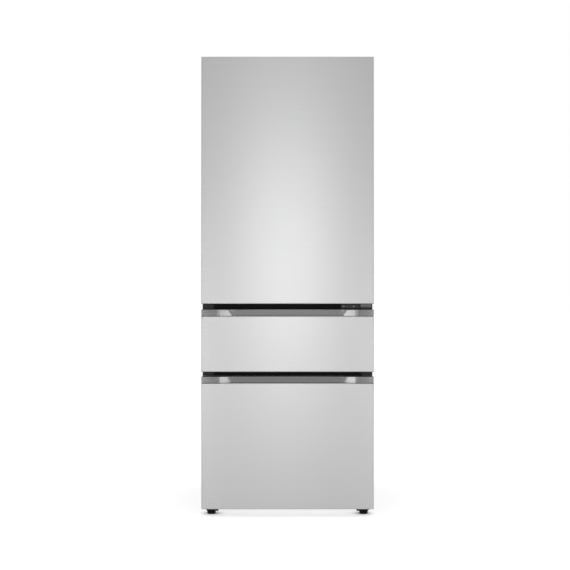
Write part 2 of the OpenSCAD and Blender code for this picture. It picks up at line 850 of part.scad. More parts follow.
module mid_hinge() {
    stopper_x = pin_x - stopper_offset;
    color("dimgray") difference() {
        union() {
            block(mid_plate_x0, mid_plate_x1, cab_y0 - hinge_plate_t, cab_y0, mid_z0, mid_z1);
            block(pin_x - tongue_left, pin_x + tongue_right, pin_y - tongue_front, cab_y0,
                  tongue_z0, tongue_z1);
            block(stopper_x - stopper_w / 2, stopper_x + stopper_w / 2,
                  pin_y - stopper_d / 2, pin_y + stopper_d / 2, tongue_z1, upper_z0 - stopper_clear);
            rod_z(pin_x, pin_y, tongue_z0 + 1, upper_z0 + pin_reach, pin_r);
        }
        screw_places() screw_hole();
    }
}

module screws() {
    color("silver") screw_places() screw();
}

// ---------- upper door ----------

// cut at the top right corner that lets the hinge arm in; grow thickens the walls round it
module hinge_notch(grow = 0) {
    block(notch_x0 - grow, half_w + cut, notch_y0 - grow, front_back_y + cut,
          notch_z0 - grow, upper_z1 + cut);
}

module pin_bores() {
    end_gap = 2;
    rod_z(pin_x, pin_y, notch_z0 - pin_reach - end_gap, notch_z0 + cut, bore_r);
    rod_z(pin_x, pin_y, upper_z0 - cut, upper_z0 + pin_reach + end_gap, bore_r);
}

module upper_door_skin() {
    color("lightgray") difference() {
        rolled_block(half_w, front_y, skin_back_y, upper_z0, upper_z1, edge_r);
        difference() {
            skin_hollow(upper_z0, upper_z1, cut);
            hinge_notch(skin_t);
        }
        hinge_notch();
        pin_bores();
    }
}

// ridge round the inner side of the door; inset shrinks it to the foam inside
module ridge(inset, past = 0) {
    ring_y(ridge_x - inset, ridge_z[0] + inset, ridge_z[1] - inset, ridge_w - 2 * inset,
           front_back_y - liner_t - past, ridge_y1 - inset);
}

module upper_door_liner() {
    color("whitesmoke") difference() {
        union() {
            pan(upper_z0, upper_z1);
            ridge(0);
            both_sides() for (i = [0 : bin_count - 1])
                block(bin_x - bin_ledge_w, bin_x + 1, front_back_y - 1, ridge_y1 - bin_ledge_w,
                      bin_z(i) - bin_ledge_h, bin_z(i));
        }
        difference() {
            union() {
                pan(upper_z0, upper_z1, liner_t, cut + liner_t);
                ridge(liner_t, cut);
            }
            hinge_notch(liner_t);
        }
        hinge_notch();
    }
}

module upper_door_foam() {
    color("khaki") difference() {
        union() {
            difference() {
                skin_hollow(upper_z0, upper_z1);
                hinge_notch(skin_t);
            }
            difference() {
                union() {
                    pan(upper_z0, upper_z1, liner_t);
                    ridge(liner_t, cut);
                }
                hinge_notch(liner_t);
            }
        }
        pin_bores();
    }
}

module upper_door_gasket() {
    color("gray") gasket_ring(upper_z0 + gasket_inset, cab_z1 - gasket_edge);
}

function bin_z(i) = ridge_z[0] + ridge_w + bin_lift + i * bin_pitch;

module bin_shape(w, d, h, r) {
    translate([0, d, 0]) mirror([0, 1, 0]) linear_extrude(h) rolled_profile(w, d, r);
}

module door_bins() {
    round_r = 25;
    color("aliceblue") for (i = [0 : bin_count - 1]) translate([0, front_back_y, bin_z(i)])
        difference() {
            bin_shape(2 * bin_x, bin_d, bin_h, round_r);
            translate([0, bin_wall, bin_wall])
                bin_shape(2 * (bin_x - bin_wall), bin_d - 2 * bin_wall, bin_h, round_r - bin_wall);
        }
}

// ---------- drawer fronts ----------

// front line of a grip in plan: flush end, arc, recessed middle
function grip_line() =
    let (steps = 14,
         end_x = half_w - grip_end_w,
         arc_r = (pow(grip_arc_w, 2) + pow(grip_recess, 2)) / (2 * grip_recess))
    [for (k = [0 : steps])
        let (u = grip_arc_w * (1 - k / steps))
        [-end_x + grip_arc_w - u, front_y + grip_recess - (arc_r - sqrt(arc_r * arc_r - u * u))]];

module grip_strip(z1) {
    left = grip_line();
    right = [for (k = [len(left) - 1 : -1 : 0]) [-left[k].x, left[k].y]];
    trough_inset = 6; // from the flush end to the trough
    trough_x = half_w - grip_end_w - trough_inset;
    difference() {
        translate([0, 0, z1 - grip_h]) linear_extrude(grip_h)
            polygon(concat([[-half_w, skin_back_y], [-half_w, front_y]], left, right,
                           [[half_w, front_y], [half_w, skin_back_y]]));
        block(-trough_x, trough_x, front_y + grip_recess + grip_wall, skin_back_y - grip_wall,
              z1 - grip_h + grip_wall, z1 + cut);
    }
}

// pan and raised inner plate of a drawer front; inset shrinks both to the foam inside
module drawer_back(z, room, inset = 0, past = 0) {
    pan(z[0], z[1], inset, past);
    block(-plate_x + inset, plate_x - inset, front_back_y - liner_t - cut,
          front_back_y + plate_rise - inset,
          room[0] + plate_end + inset, room[1] - plate_end - inset);
}

module drawer_liner(z, room) {
    color("whitesmoke") difference() {
        drawer_back(z, room);
        drawer_back(z, room, liner_t, cut + liner_t);
    }
}

module drawer_foam(z, room) {
    color("khaki") {
        skin_hollow(z[0], z[1] - grip_h);
        drawer_back(z, room, liner_t);
    }
}

module basket(z0, h, y1) {
    color("aliceblue") difference() {
        block(-basket_x, basket_x, basket_y0, y1, z0, z0 + h);
        block(-basket_x + basket_wall, basket_x - basket_wall, basket_y0 + basket_wall,
              y1 - basket_wall, z0 + basket_wall, z0 + h + cut);
    }
}

// width of one container when cols of them share an inner width
function tub_size(inner, cols) = (inner - (cols + 1) * tub_gap) / cols;

// draws children at each container's place; rows counts them front to back
module tub_places(y1, z0, h, rows, layers) {
    inner_w = 2 * (basket_x - basket_wall);
    inner_d = y1 - basket_y0 - 2 * basket_wall;
    w = tub_size(inner_w, 2);
    d = tub_size(inner_d, rows);
    for (c = [0, 1], r = [0 : rows - 1], k = [0 : layers - 1])
        translate([-inner_w / 2 + tub_gap + w / 2 + c * (w + tub_gap),
                   basket_y0 + basket_wall + tub_gap + d / 2 + r * (d + tub_gap),
                   z0 + basket_wall + k * (h + lid_h)])
            children();
}

// open tub with round corners and a rim
module tub(w, d, h) {
    body_w1 = w - 2 * (rim_w + latch_t);
    body_d1 = d - 2 * (rim_w + latch_t);
    difference() {
        union() {
            linear_extrude(h) round_rect(body_w1, body_d1, tub_r);
            translate([0, 0, h - rim_t]) linear_extrude(rim_t)
                round_rect(body_w1 + 2 * (rim_w - rim_clear), body_d1 + 2 * (rim_w - rim_clear),
                           tub_r + rim_w);
        }
        translate([0, 0, tub_wall]) linear_extrude(h)
            round_rect(body_w1 - 2 * tub_wall, body_d1 - 2 * tub_wall, tub_r - tub_wall);
    }
}

// lid with a plug inside the tub and a latch over the rim at the front and the back
module lid(w, d) {
    plug_h = 5;
    plug_clear = 1;
    latch_w = 70;
    latch_drop = 18;
    latch_top = 2; // from a latch's top to the lid's
    lid_w = w - 2 * latch_t;
    lid_d = d - 2 * latch_t;
    linear_extrude(lid_h) round_rect(lid_w, lid_d, tub_r + rim_w);
    translate([0, 0, -plug_h]) linear_extrude(plug_h + 1)
        round_rect(lid_w - 2 * (rim_w + tub_wall + plug_clear), lid_d - 2 * (rim_w + tub_wall + plug_clear),
                   tub_r - tub_wall);
    for (s = [-1, 1])
        translate([-latch_w / 2, s * (lid_d + latch_t) / 2 - latch_t / 2, -latch_drop])
            cube([latch_w, latch_t, latch_drop + lid_h - latch_top]);
}

module tubs(y1, z0, h, rows, layers) {
    w = tub_size(2 * (basket_x - basket_wall), 2);
    d = tub_size(y1 - basket_y0 - 2 * basket_wall, rows);
    color("linen") tub_places(y1, z0, h, rows, layers) tub(w, d, h);
}

module lids(y1, z0, h, rows, layers) {
    w = tub_size(2 * (basket_x - basket_wall), 2);
    d = tub_size(y1 - basket_y0 - 2 * basket_wall, rows);
    color("gainsboro") tub_places(y1, z0, h, rows, layers) translate([0, 0, h]) lid(w, d);
}

module middle_front_skin() { color("lightgray") skin(middle_z0, middle_z1 - grip_h); }
module middle_grip() { color("dimgray") grip_strip(middle_z1); }
module middle_front_foam() { drawer_foam([middle_z0, middle_z1], middle_room); }
module middle_front_liner() { drawer_liner([middle_z0, middle_z1], middle_room); }
module middle_gasket() { color("gray") gasket_ring(middle_z0 + gasket_inset, middle_z1 - gasket_inset); }
module middle_basket() { basket(middle_basket_z0, middle_basket_h, middle_basket_y1); }
module middle_containers() { tubs(middle_basket_y1, middle_basket_z0, middle_tub_h, 2, 1); }
module middle_lids() { lids(middle_basket_y1, middle_basket_z0, middle_tub_h, 2, 1); }
module middle_rail_slides() {
    color("silver") both_sides() slide_member(middle_basket_y1 - slide_end, middle_rail_z);
}
module middle_rail_links() {
    color("silver") both_sides() link_member(middle_basket_y1 - link_end, middle_rail_z);
}

module lower_front_skin() { color("lightgray") skin(lower_z0, lower_z1 - grip_h); }
module lower_grip() { color("dimgray") grip_strip(lower_z1); }
module lower_front_foam() { drawer_foam([lower_z0, lower_z1], lower_room); }
module lower_front_liner() { drawer_liner([lower_z0, lower_z1], lower_room); }
module lower_gasket() { color("gray") gasket_ring(lower_z0 + gasket_inset, lower_z1 - gasket_inset); }
module lower_basket() { basket(lower_basket_z0, lower_basket_h, lower_basket_y1); }
module lower_containers() { tubs(lower_basket_y1, lower_basket_z0, lower_tub_h, 1, 2); }
module lower_lids() { lids(lower_basket_y1, lower_basket_z0, lower_tub_h, 1, 2); }
module lower_rail_slides() {
    color("silver") both_sides() slide_member(lower_basket_y1 - slide_end, lower_rail_z);
}
module lower_rail_links() {
    color("silver") both_sides() link_member(lower_basket_y1 - link_end, lower_rail_z);
}

module fixed_rails() {
    color("silver") both_sides() {
        fixed_member(middle_basket_y1 - fixed_end, middle_rail_z);
        fixed_member(lower_basket_y1 - fixed_end, lower_rail_z);
    }
}

// ---------- machine room ----------

module compressor() {
    color("black") translate([compressor_x, machine_y, 0]) {
        translate([0, 0, compressor_plate_z]) linear_extrude(compressor_plate_t)
            round_rect(2 * (mount_x + grommet_edge), 2 * (mount_y + grommet_edge), grommet_edge);
        translate([0, 0, compressor_z0]) rotate_extrude() {
            translate([0, shell_round]) square([compressor_r, compressor_h - 2 * shell_round]);
            square([compressor_r - shell_round, compressor_h]);
            for (z = [shell_round, compressor_h - shell_round])
                translate([compressor_r - shell_round, z]) circle(shell_round);
        }
    }
}

module compressor_mounts() {
    color("black") translate([compressor_x, machine_y, base_z1]) for (sx = [-1, 1], sy = [-1, 1])
        translate([sx * mount_x, sy * mount_y, 0]) cylinder(h = grommet_h, r = grommet_r);
}

module drain_tray() {
    end_gap = 12; // from the tray to the walls before and behind it
    y = [machine_y0 + end_gap, panel_y0 - end_gap];
    color("dimgray") difference() {
        block(tray_x[0], tray_x[1], y[0], y[1], base_z1, tray_z1);
        block(tray_x[0] + tray_wall, tray_x[1] - tray_wall, y[0] + tray_wall, y[1] - tray_wall,
              base_z1 + tray_wall, tray_z1 + cut);
    }
}

module condenser() {
    end_gap = 26;
    tube_columns = 3;
    fin_count = 24;
    color("black")
        tube_bank(tray_x, [machine_y0 + end_gap, panel_y0 - end_gap], condenser_z,
                  condenser_rows, tube_columns, fin_count, tray_z1);
}

module condenser_fan_motor() {
    bar_half = 8;
    bar_t = 6;
    blade_clear = 4;
    color("dimgray") difference() {
        union() {
            difference() {
                block(0, shroud_x1, machine_y - shroud_half, machine_y + shroud_half,
                      base_z1, fan_z + shroud_half);
                rod_x(-cut, shroud_x1 + cut, machine_y, fan_z, fan_r + blade_clear);
            }
            block(shroud_x1 - cut, shroud_x1 + bar_t, machine_y - bar_half, machine_y + bar_half,
                  base_z1, fan_z + shroud_half);
            rod_x(shroud_x1, shroud_x1 + motor_l, machine_y, fan_z, motor_r);
        }
        rod_x(0, shroud_x1 + shaft_bore, machine_y, fan_z, shaft_r + shaft_clear);
    }
}

module condenser_fan() {
    color("white") translate([fan_x0 + fan_w, machine_y, fan_z]) rotate([0, -90, 0])
        fan_wheel(fan_r, hub_r, fan_w, fan_blades,
                  shroud_x1 + shaft_bore - shaft_end - fan_x0 - fan_w);
}

module refrigerant_pipes() {
    drier_r = 10;
    drier_x = 40;
    drier_l = 70;
    stub_offset = 24; // from the compressor's axis to the suction pipe
    down_x = tray_x[1] + bend_out;
    down_z = condenser_top_tube + tube_r + elbow_grow;
    stub_x = compressor_x + stub_offset;
    color("peru") {
        pipe_run([[compressor_x, machine_y, compressor_z1], [compressor_x, machine_y, pipe_z],
                  [down_x, machine_y, pipe_z], [down_x, machine_y, down_z]], pipe_r);
        pipe_run([[stub_x, machine_y, compressor_z1], [stub_x, machine_y, machine_z1 - sheet_t]],
                 pipe_r);
        rod_x(drier_x, drier_x + drier_l, machine_y, pipe_z, drier_r);
    }
}

module machine_cover() {
    slot_w = 84;
    slot_h = 6;
    slot_pitch = 15;
    slot_rows = 9;
    slot_inner = 60; // slot columns, from the cover's middle
    slot_outer = 160;
    slot_x = [-slot_outer, -slot_inner, slot_inner, slot_outer];
    slot_lift = 30; // from the cord inlet to the lowest slots
    boss_wall = 7;
    side_gap = 1; // from the cover to the cabinet's sides
    boss_r = inlet_r + boss_wall;
    boss_y1 = body_d / 2;
    color("dimgray") difference() {
        union() {
            block(-half_w + side_gap, half_w - side_gap, cab_y1, cover_y1, base_z1, cover_z1);
            rod_y(inlet_x, cover_y1 - cover_t / 2, boss_y1, inlet_z, boss_r);
        }
        for (x = slot_x, row = [0 : slot_rows - 1])
            translate([x, 0, inlet_z + slot_lift + row * slot_pitch])
                block(-slot_w / 2, slot_w / 2, cab_y1 - cut, cover_y1 + cut, 0, slot_h);
        rod_y(inlet_x, cab_y1 - cut, boss_y1 + cut, inlet_z, inlet_r);
        screw_places() screw_hole();
    }
}

module control_board_box() {
    wall = 1.5;
    z = [board_z[0] - board_flange, board_z[1] + board_flange];
    color("dimgray") difference() {
        union() {
            block(-board_half - board_flange, board_half + board_flange,
                  panel_y1, panel_y1 + cover_t, z[0], z[1]);
            block(-board_half, board_half, panel_y1, panel_y1 + board_d, board_z[0], board_z[1]);
        }
        block(-board_half + wall, board_half - wall, panel_y1 - cut, panel_y1 + board_d - wall,
              board_z[0] + wall, board_z[1] - wall);
        screw_places() screw_hole();
    }
}

// ---------- feet and rollers ----------

module foot_bracket() {
    inner = 28; // bracket towards the middle, and towards the side
    outer = 24;
    lap = 40; // how far it runs back under the cabinet
    length = 45;
    x = [foot_x - inner, foot_x + outer];
    z = [foot_h + foot_gap, cab_z0];
    slant = 9;
    difference() {
        translate([0, cab_y0 + lap, 0]) rotate([90, 0, 0]) linear_extrude(length)
            polygon([[x[0], z[0]], [x[1] - slant, z[0]], [x[1], z[0] + slant],
                     [x[1], z[1]], [x[0], z[1]]]);
        rod_z(foot_x, foot_y, z[0] - cut, z[1] + cut, stud_r + shaft_clear);
    }
}

module roller_fork() {
    side_clear = 0.5;
    ear_x = roller_w / 2 + side_clear;
    ear_y = 11;
    ear_drop = 6; // how far an ear reaches below the axle
    for (s = [-1, 1])
        block(roller_x + (s > 0 ? ear_x : -ear_x - fork_t), roller_x + (s > 0 ? ear_x + fork_t : -ear_x),
              roller_y - ear_y, roller_y + ear_y, roller_r - ear_drop, base_z0);
    block(roller_x - ear_x - fork_t, roller_x + ear_x + fork_t, roller_y - ear_y, roller_y + ear_y,
          base_z0 - fork_t, base_z0);
    rod_x(roller_x - ear_x - fork_t - 1, roller_x + ear_x + fork_t + 1, roller_y, roller_r, axle_r);
}

module base_brackets() {
    color("black") both_sides() {
        foot_bracket();
        roller_fork();
    }
}

module foot() {
    edge = 2;
    translate([foot_x, foot_y, 0]) {
        cylinder(h = edge, r1 = foot_r - edge, r2 = foot_r);
        translate([0, 0, edge]) cylinder(h = foot_h - 2 * edge, r = foot_r);
        translate([0, 0, foot_h - edge]) cylinder(h = edge, r1 = foot_r, r2 = foot_r - edge);
        cylinder(h = stud_z1, r = stud_r);
    }
}

module roller() {
    edge = 2;
    translate([roller_x - roller_w / 2, roller_y, roller_r]) rotate([0, 90, 0]) difference() {
        rotate_extrude() {
            square([roller_r - edge, roller_w]);
            translate([0, edge]) square([roller_r, roller_w - 2 * edge]);
            for (z = [edge, roller_w - edge]) translate([roller_r - edge, z]) circle(edge);
        }
        translate([0, 0, -cut]) cylinder(h = roller_w + 2 * cut, r = axle_r + shaft_clear);
    }
}

module left_foot() { color("black") mirror([1, 0, 0]) foot(); }
module right_foot() { color("black") foot(); }
module left_roller() { color("black") mirror([1, 0, 0]) roller(); }
module right_roller() { color("black") roller(); }

left_side_panel();
right_side_panel();
top_panel();
back_panel();
front_rails();
machine_base();
cabinet_foam();
upper_liner();
middle_liner();
lower_liner();
shelf_glasses();
duct_panel();
evaporator();
evaporator_fan_motor();
control_panel();
top_hinge();
top_hinge_cover();
mid_hinge();
screws();
base_brackets();
compressor();
compressor_mounts();
condenser();
condenser_fan_motor();
drain_tray();
refrigerant_pipes();
machine_cover();
control_board_box();
fixed_rails();
evaporator_fan();
condenser_fan();
left_roller();
right_roller();
left_foot();
right_foot();
upper_door_skin();
upper_door_foam();
upper_door_liner();
upper_door_gasket();
door_bins();
middle_front_skin();
middle_grip();
middle_front_foam();
middle_front_liner();
middle_gasket();
middle_basket();
middle_containers();
middle_lids();
middle_rail_slides();
middle_rail_links();
lower_front_skin();
lower_grip();
lower_front_foam();
lower_front_liner();
lower_gasket();
lower_basket();
lower_containers();
lower_lids();
lower_rail_slides();
lower_rail_links();
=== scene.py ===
# %% [markdown]
# # A stand-type kimchi refrigerator
# The real object is a steel cabinet filled with foam, with a tall hinged door over two drawers.
# Its shape comes packed from the construction model, and this notebook gives it the surfaces
# that a camera sees: brushed skins, grips, seals, tubs, glass and the light round them.

# %% Load the frame
import math

import bmesh
import bpy
import numpy as np
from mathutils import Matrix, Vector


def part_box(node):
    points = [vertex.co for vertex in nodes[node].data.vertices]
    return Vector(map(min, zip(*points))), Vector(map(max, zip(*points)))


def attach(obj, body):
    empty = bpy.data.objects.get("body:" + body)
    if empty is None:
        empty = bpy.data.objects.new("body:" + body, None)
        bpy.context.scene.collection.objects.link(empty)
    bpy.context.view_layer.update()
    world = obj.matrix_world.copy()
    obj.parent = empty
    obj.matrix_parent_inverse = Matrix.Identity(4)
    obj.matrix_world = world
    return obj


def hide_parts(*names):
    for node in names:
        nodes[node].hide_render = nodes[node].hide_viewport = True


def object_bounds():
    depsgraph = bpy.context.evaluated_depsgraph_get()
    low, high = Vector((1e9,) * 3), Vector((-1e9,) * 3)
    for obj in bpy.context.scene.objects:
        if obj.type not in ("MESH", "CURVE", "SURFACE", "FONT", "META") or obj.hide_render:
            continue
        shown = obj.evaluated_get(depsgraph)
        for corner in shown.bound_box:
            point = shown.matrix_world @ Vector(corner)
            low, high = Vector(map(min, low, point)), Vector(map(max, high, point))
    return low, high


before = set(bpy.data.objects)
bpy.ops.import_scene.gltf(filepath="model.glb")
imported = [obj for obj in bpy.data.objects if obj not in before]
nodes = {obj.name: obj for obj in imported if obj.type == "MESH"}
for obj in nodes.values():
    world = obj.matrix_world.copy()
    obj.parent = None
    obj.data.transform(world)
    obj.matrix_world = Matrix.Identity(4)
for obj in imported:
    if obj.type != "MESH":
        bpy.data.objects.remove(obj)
cad_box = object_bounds()
MM = 0.001
print("parts in the frame:", len(nodes), "| box in metres:", [list(c) for c in cad_box])

# %% [markdown]
# ## The camera
# The photograph was taken straight on. The fronts hide the cabinet, but its face shows in the
# two gaps, a little narrower than the fronts, and that narrowing gives the camera's distance.
# A level camera keeps the upright edges parallel, as the photograph does, and its lens follows
# from the width that the frame holds at that distance.

# %% Camera
FRONT_Y = cad_box[0][1]
CAMERA_DISTANCE = 4.3
CAMERA_X = -0.0098
CAMERA_Z = 0.898
SENSOR_MM = 36.0
VIEW_WIDTH = 2.1994  # metres of the front plane that the frame holds

camera_data = bpy.data.cameras.new("camera")
camera_data.sensor_width = SENSOR_MM
camera_data.lens = SENSOR_MM * CAMERA_DISTANCE / VIEW_WIDTH
camera = bpy.data.objects.new("camera", camera_data)
bpy.context.scene.collection.objects.link(camera)
camera.location = (CAMERA_X, FRONT_Y - CAMERA_DISTANCE, CAMERA_Z)
camera.rotation_euler = (math.radians(90), 0, 0)
bpy.context.scene.camera = camera
bpy.context.scene.view_settings.view_transform = "Standard"
print("lens in mm:", round(camera_data.lens, 2))

# %% [markdown]
# ## Nodes for materials
# Every finish is built from the same few steps: a pattern on Object coordinates, a range that
# bends it, and a socket that takes it. Each could be wired by hand, but short helpers keep a
# finish down to a few readable lines. Sizes are in metres, so a pattern's scale is the number
# of its features along one metre.

# %% Nodes and sockets
def add_node(owner, kind, **settings):
    """A node in the tree of a material or of the world, with its properties set."""
    node = owner.node_tree.nodes.new(kind)
    for key, value in settings.items():
        setattr(node, key, value)
    return node


def set_inputs(node, **values):
    """Sets a node's inputs by name, with _ for a blank in the names."""
    for socket, value in values.items():
        node.inputs[socket.replace("_", " ")].default_value = value
    return node


def join(owner, source, target):
    """Links one socket to another."""
    owner.node_tree.links.new(source, target)


def shader_of(material):
    """The material's Principled node."""
    return material.node_tree.nodes["Principled BSDF"]


def new_material(name, colour, roughness, metallic=0.0, **sockets):
    """A Principled material; sockets sets further inputs by name."""
    material = bpy.data.materials.new(name)
    material.use_nodes = True
    set_inputs(shader_of(material), Base_Color=(*colour, 1.0), Roughness=roughness,
               Metallic=metallic, **sockets)
    return material


# %% Patterns and what they change
NOISE_START, NOISE_END = 0.3, 0.7  # nearly all values of a noise lie between these


def noise(material, scale, squeeze=(1, 1, 1), detail=3.0, roughness=0.5):
    """Noise on Object coordinates; squeeze packs the pattern tighter along each axis."""
    coordinates = add_node(material, "ShaderNodeTexCoord")
    mapping = set_inputs(add_node(material, "ShaderNodeMapping"), Scale=squeeze)
    join(material, coordinates.outputs["Object"], mapping.inputs["Vector"])
    texture = set_inputs(add_node(material, "ShaderNodeTexNoise"),
                         Scale=scale, Detail=detail, Roughness=roughness)
    join(material, mapping.outputs["Vector"], texture.inputs["Vector"])
    return texture.outputs["Fac"]


def tint(material, value, colour, darker, lighter, start=NOISE_START, end=NOISE_END):
    """The base colour follows a value: darker * colour at start, lighter * colour at end."""
    node = add_node(material, "ShaderNodeValToRGB")
    for k, (position, factor) in enumerate([(start, darker), (end, lighter)]):
        node.color_ramp.elements[k].position = position
        node.color_ramp.elements[k].color = (*(min(1.0, c * factor) for c in colour), 1.0)
    join(material, value, node.inputs["Fac"])
    join(material, node.outputs["Color"], shader_of(material).inputs["Base Color"])


def vary_roughness(material, value, roughness, swing, start=NOISE_START, end=NOISE_END):
    """The roughness follows a value: less by the swing at start, more by the swing at end."""
    node = set_inputs(add_node(material, "ShaderNodeMapRange"), From_Min=start, From_Max=end,
                      To_Min=roughness - swing, To_Max=roughness + swing)
    join(material, value, node.inputs["Value"])
    join(material, node.outputs["Result"], shader_of(material).inputs["Roughness"])


def bump(material, value, height):
    """Bumps the surface by a pattern whose full swing is height, in metres."""
    node = set_inputs(add_node(material, "ShaderNodeBump"), Strength=1.0, Distance=height)
    join(material, value, node.inputs["Height"])
    join(material, node.outputs["Normal"], shader_of(material).inputs["Normal"])


# %% [markdown]
# ## Brushed steel
# The skins are rolled sheet, brushed sideways. Fine grooves spread a reflection across their
# own direction, so a lamp in front turns into a tall soft glow. Grooves cut into the mesh would
# take millions of faces. Instead one noise, drawn out along X, makes the hairlines in tone,
# gloss and bump, and the shader's own anisotropy does the spreading, turned a quarter so that
# the glow stands upright.

# %% Brushed steel
HAIRLINES = (5.0, 300.0, 1500.0)  # features a metre along X, Y and Z
HAIRLINE_HEIGHT = 0.003 * MM
QUARTER_TURN = 0.25


def brushed_steel(name, colour, roughness, anisotropy):
    """Steel with sideways hairlines: one noise drawn out along X in tone, gloss and bump."""
    steel = new_material(name, colour, roughness, metallic=1.0, Anisotropic=anisotropy,
                         Anisotropic_Rotation=QUARTER_TURN)
    tangent = add_node(steel, "ShaderNodeTangent", direction_type="RADIAL", axis="Z")
    join(steel, tangent.outputs["Tangent"], shader_of(steel).inputs["Tangent"])
    hairline = noise(steel, 1.0, HAIRLINES, detail=4.0, roughness=0.65)
    tint(steel, hairline, colour, darker=0.96, lighter=1.04, start=0.25, end=0.75)
    vary_roughness(steel, hairline, roughness, swing=0.03)
    bump(steel, hairline, HAIRLINE_HEIGHT)
    return steel


steel_skin = brushed_steel("steel_skin", (0.37, 0.37, 0.372), 0.31, anisotropy=0.76)
grip_metal = brushed_steel("grip_metal", (0.145, 0.145, 0.147), 0.15, anisotropy=0.6)
print("brushed finishes:", steel_skin.name, grip_metal.name)

# %% [markdown]
# ## Painted sheet
# The case is steel sheet with baked paint. A fine orange peel breaks its gloss, and that is
# all that tells paint from plastic at arm's length. Bright zinc on the back has a flake
# instead, which a cell pattern gives. A plain colour would do from afar, but close up it would
# look like nothing in particular.

# %% Paint and zinc
PEEL_HEIGHT = 0.02 * MM
PAINT_TONES, FLAKES = 3.0, 200.0  # features a metre


def paint(name, colour, roughness, grain=900.0, shine=0.5):
    """Paint with orange peel: small smooth bumps, and a slow change of tone and gloss."""
    material = new_material(name, colour, roughness, Specular_IOR_Level=shine)
    bump(material, noise(material, grain, detail=1.0), PEEL_HEIGHT)
    slow = noise(material, PAINT_TONES, detail=2.0)
    tint(material, slow, colour, darker=0.95, lighter=1.05)
    vary_roughness(material, slow, roughness, swing=0.012)
    return material


def zinc(name, colour, roughness):
    """Galvanised sheet: flat flakes, each with its own tone and gloss."""
    material = new_material(name, colour, roughness, metallic=0.9)
    coordinates = add_node(material, "ShaderNodeTexCoord")
    flakes = set_inputs(add_node(material, "ShaderNodeTexVoronoi"), Scale=FLAKES)
    join(material, coordinates.outputs["Object"], flakes.inputs["Vector"])
    flake_tone = add_node(material, "ShaderNodeSeparateColor")
    join(material, flakes.outputs["Color"], flake_tone.inputs["Color"])
    value = flake_tone.outputs["Red"]
    tint(material, value, colour, darker=0.9, lighter=1.08, start=0.0, end=1.0)
    vary_roughness(material, value, roughness, swing=0.08, start=0.0, end=1.0)
    return material


case_paint = paint("case_paint", (0.016, 0.0165, 0.018), 0.42, shine=0.25)
black_paint = paint("black_paint", (0.004, 0.004, 0.0045), 0.5, grain=700.0, shine=0.1)
hinge_paint = paint("hinge_paint", (0.03, 0.03, 0.031), 0.38, shine=0.35)
zinc_sheet = zinc("zinc_sheet", (0.5, 0.51, 0.52), 0.4)
print("sheet finishes:", case_paint.name, black_paint.name, hinge_paint.name, zinc_sheet.name)

# %% [markdown]
# ## Plastics, rubber and glass
# Moulded plastic keeps the fine grain of its mould. The liners are glossy with hardly any
# grain, the black mouldings are matt, and the tubs let some light through. Rubber is matt
# with a soft sheen at its edges. They differ only in degree, so one function with a few
# numbers makes nearly all of them.

# %% Plastics, rubber and glass
PLASTIC_TONES = 5.0  # features a metre


def moulded(name, colour, roughness, grain=1400.0, height=0.01 * MM, **sockets):
    """Moulded plastic: a fine grain in bump and gloss, and a slow change of tone."""
    material = new_material(name, colour, roughness, **sockets)
    fine = noise(material, grain, detail=2.0)
    bump(material, fine, height)
    slow = noise(material, PLASTIC_TONES, detail=2.0)
    tint(material, slow, colour, darker=0.96, lighter=1.04)
    vary_roughness(material, fine, roughness, swing=0.04)
    return material


liner_white = moulded("liner_white", (0.8, 0.81, 0.82), 0.28, height=0.004 * MM)
panel_white = moulded("panel_white", (0.84, 0.84, 0.84), 0.35)
black_plastic = moulded("black_plastic", (0.005, 0.005, 0.0055), 0.5, height=0.02 * MM,
                        Specular_IOR_Level=0.12)
case_plastic = moulded("case_plastic", (0.05, 0.051, 0.055), 0.45, height=0.02 * MM)
tub_plastic = moulded("tub_plastic", (0.78, 0.75, 0.68), 0.3, Subsurface_Weight=0.25,
                      Subsurface_Scale=0.01)
lid_plastic = moulded("lid_plastic", (0.33, 0.34, 0.345), 0.38)
bush_plastic = moulded("bush_plastic", (0.17, 0.17, 0.172), 0.42)
basket_plastic = moulded("basket_plastic", (0.74, 0.76, 0.78), 0.32)
bin_plastic = moulded("bin_plastic", (0.86, 0.92, 0.95), 0.08, height=0.002 * MM,
                      Transmission_Weight=0.85, IOR=1.45)
gasket_rubber = moulded("gasket_rubber", (0.2, 0.2, 0.205), 0.55, Sheen_Weight=0.1)
black_rubber = moulded("black_rubber", (0.01, 0.01, 0.01), 0.7, height=0.03 * MM)
foam_yellow = moulded("foam_yellow", (0.75, 0.62, 0.35), 0.85, grain=500.0, height=0.2 * MM)
black_glass = moulded("black_glass", (0.006, 0.006, 0.007), 0.06, height=0.0005 * MM)
shelf_glass = new_material("shelf_glass", (0.9, 0.97, 0.95), 0.02, Transmission_Weight=1.0,
                           IOR=1.5)
lamp_white = moulded("lamp_white", (0.9, 0.9, 0.88), 0.3, Emission_Strength=0.6,
                     Emission_Color=(1.0, 0.98, 0.94, 1.0))
print("clear finishes:", bin_plastic.name, shelf_glass.name)

# %% [markdown]
# ## Bright metals
# The hinge, the rails and the coils are small bright parts. Zinc-plated steel is never a
# mirror: short random scratches soften it, and copper tube darkens in patches. Drawn scratches
# would have to be placed one by one, and a fine noise gives the same broken gloss.

# %% Bright metals
PATCHES, SCRATCHES = 30.0, 700.0  # features a metre
SCRATCH_HEIGHT = 0.004 * MM


def bright_metal(name, colour, roughness, patch=0.1):
    """Plated metal: patches of tone, and fine random scratches in gloss and bump."""
    material = new_material(name, colour, roughness, metallic=1.0)
    patches = noise(material, PATCHES, detail=5.0)
    tint(material, patches, colour, darker=1 - patch, lighter=1 + patch)
    fine = noise(material, SCRATCHES)
    vary_roughness(material, fine, roughness, swing=0.08)
    bump(material, fine, SCRATCH_HEIGHT)
    return material


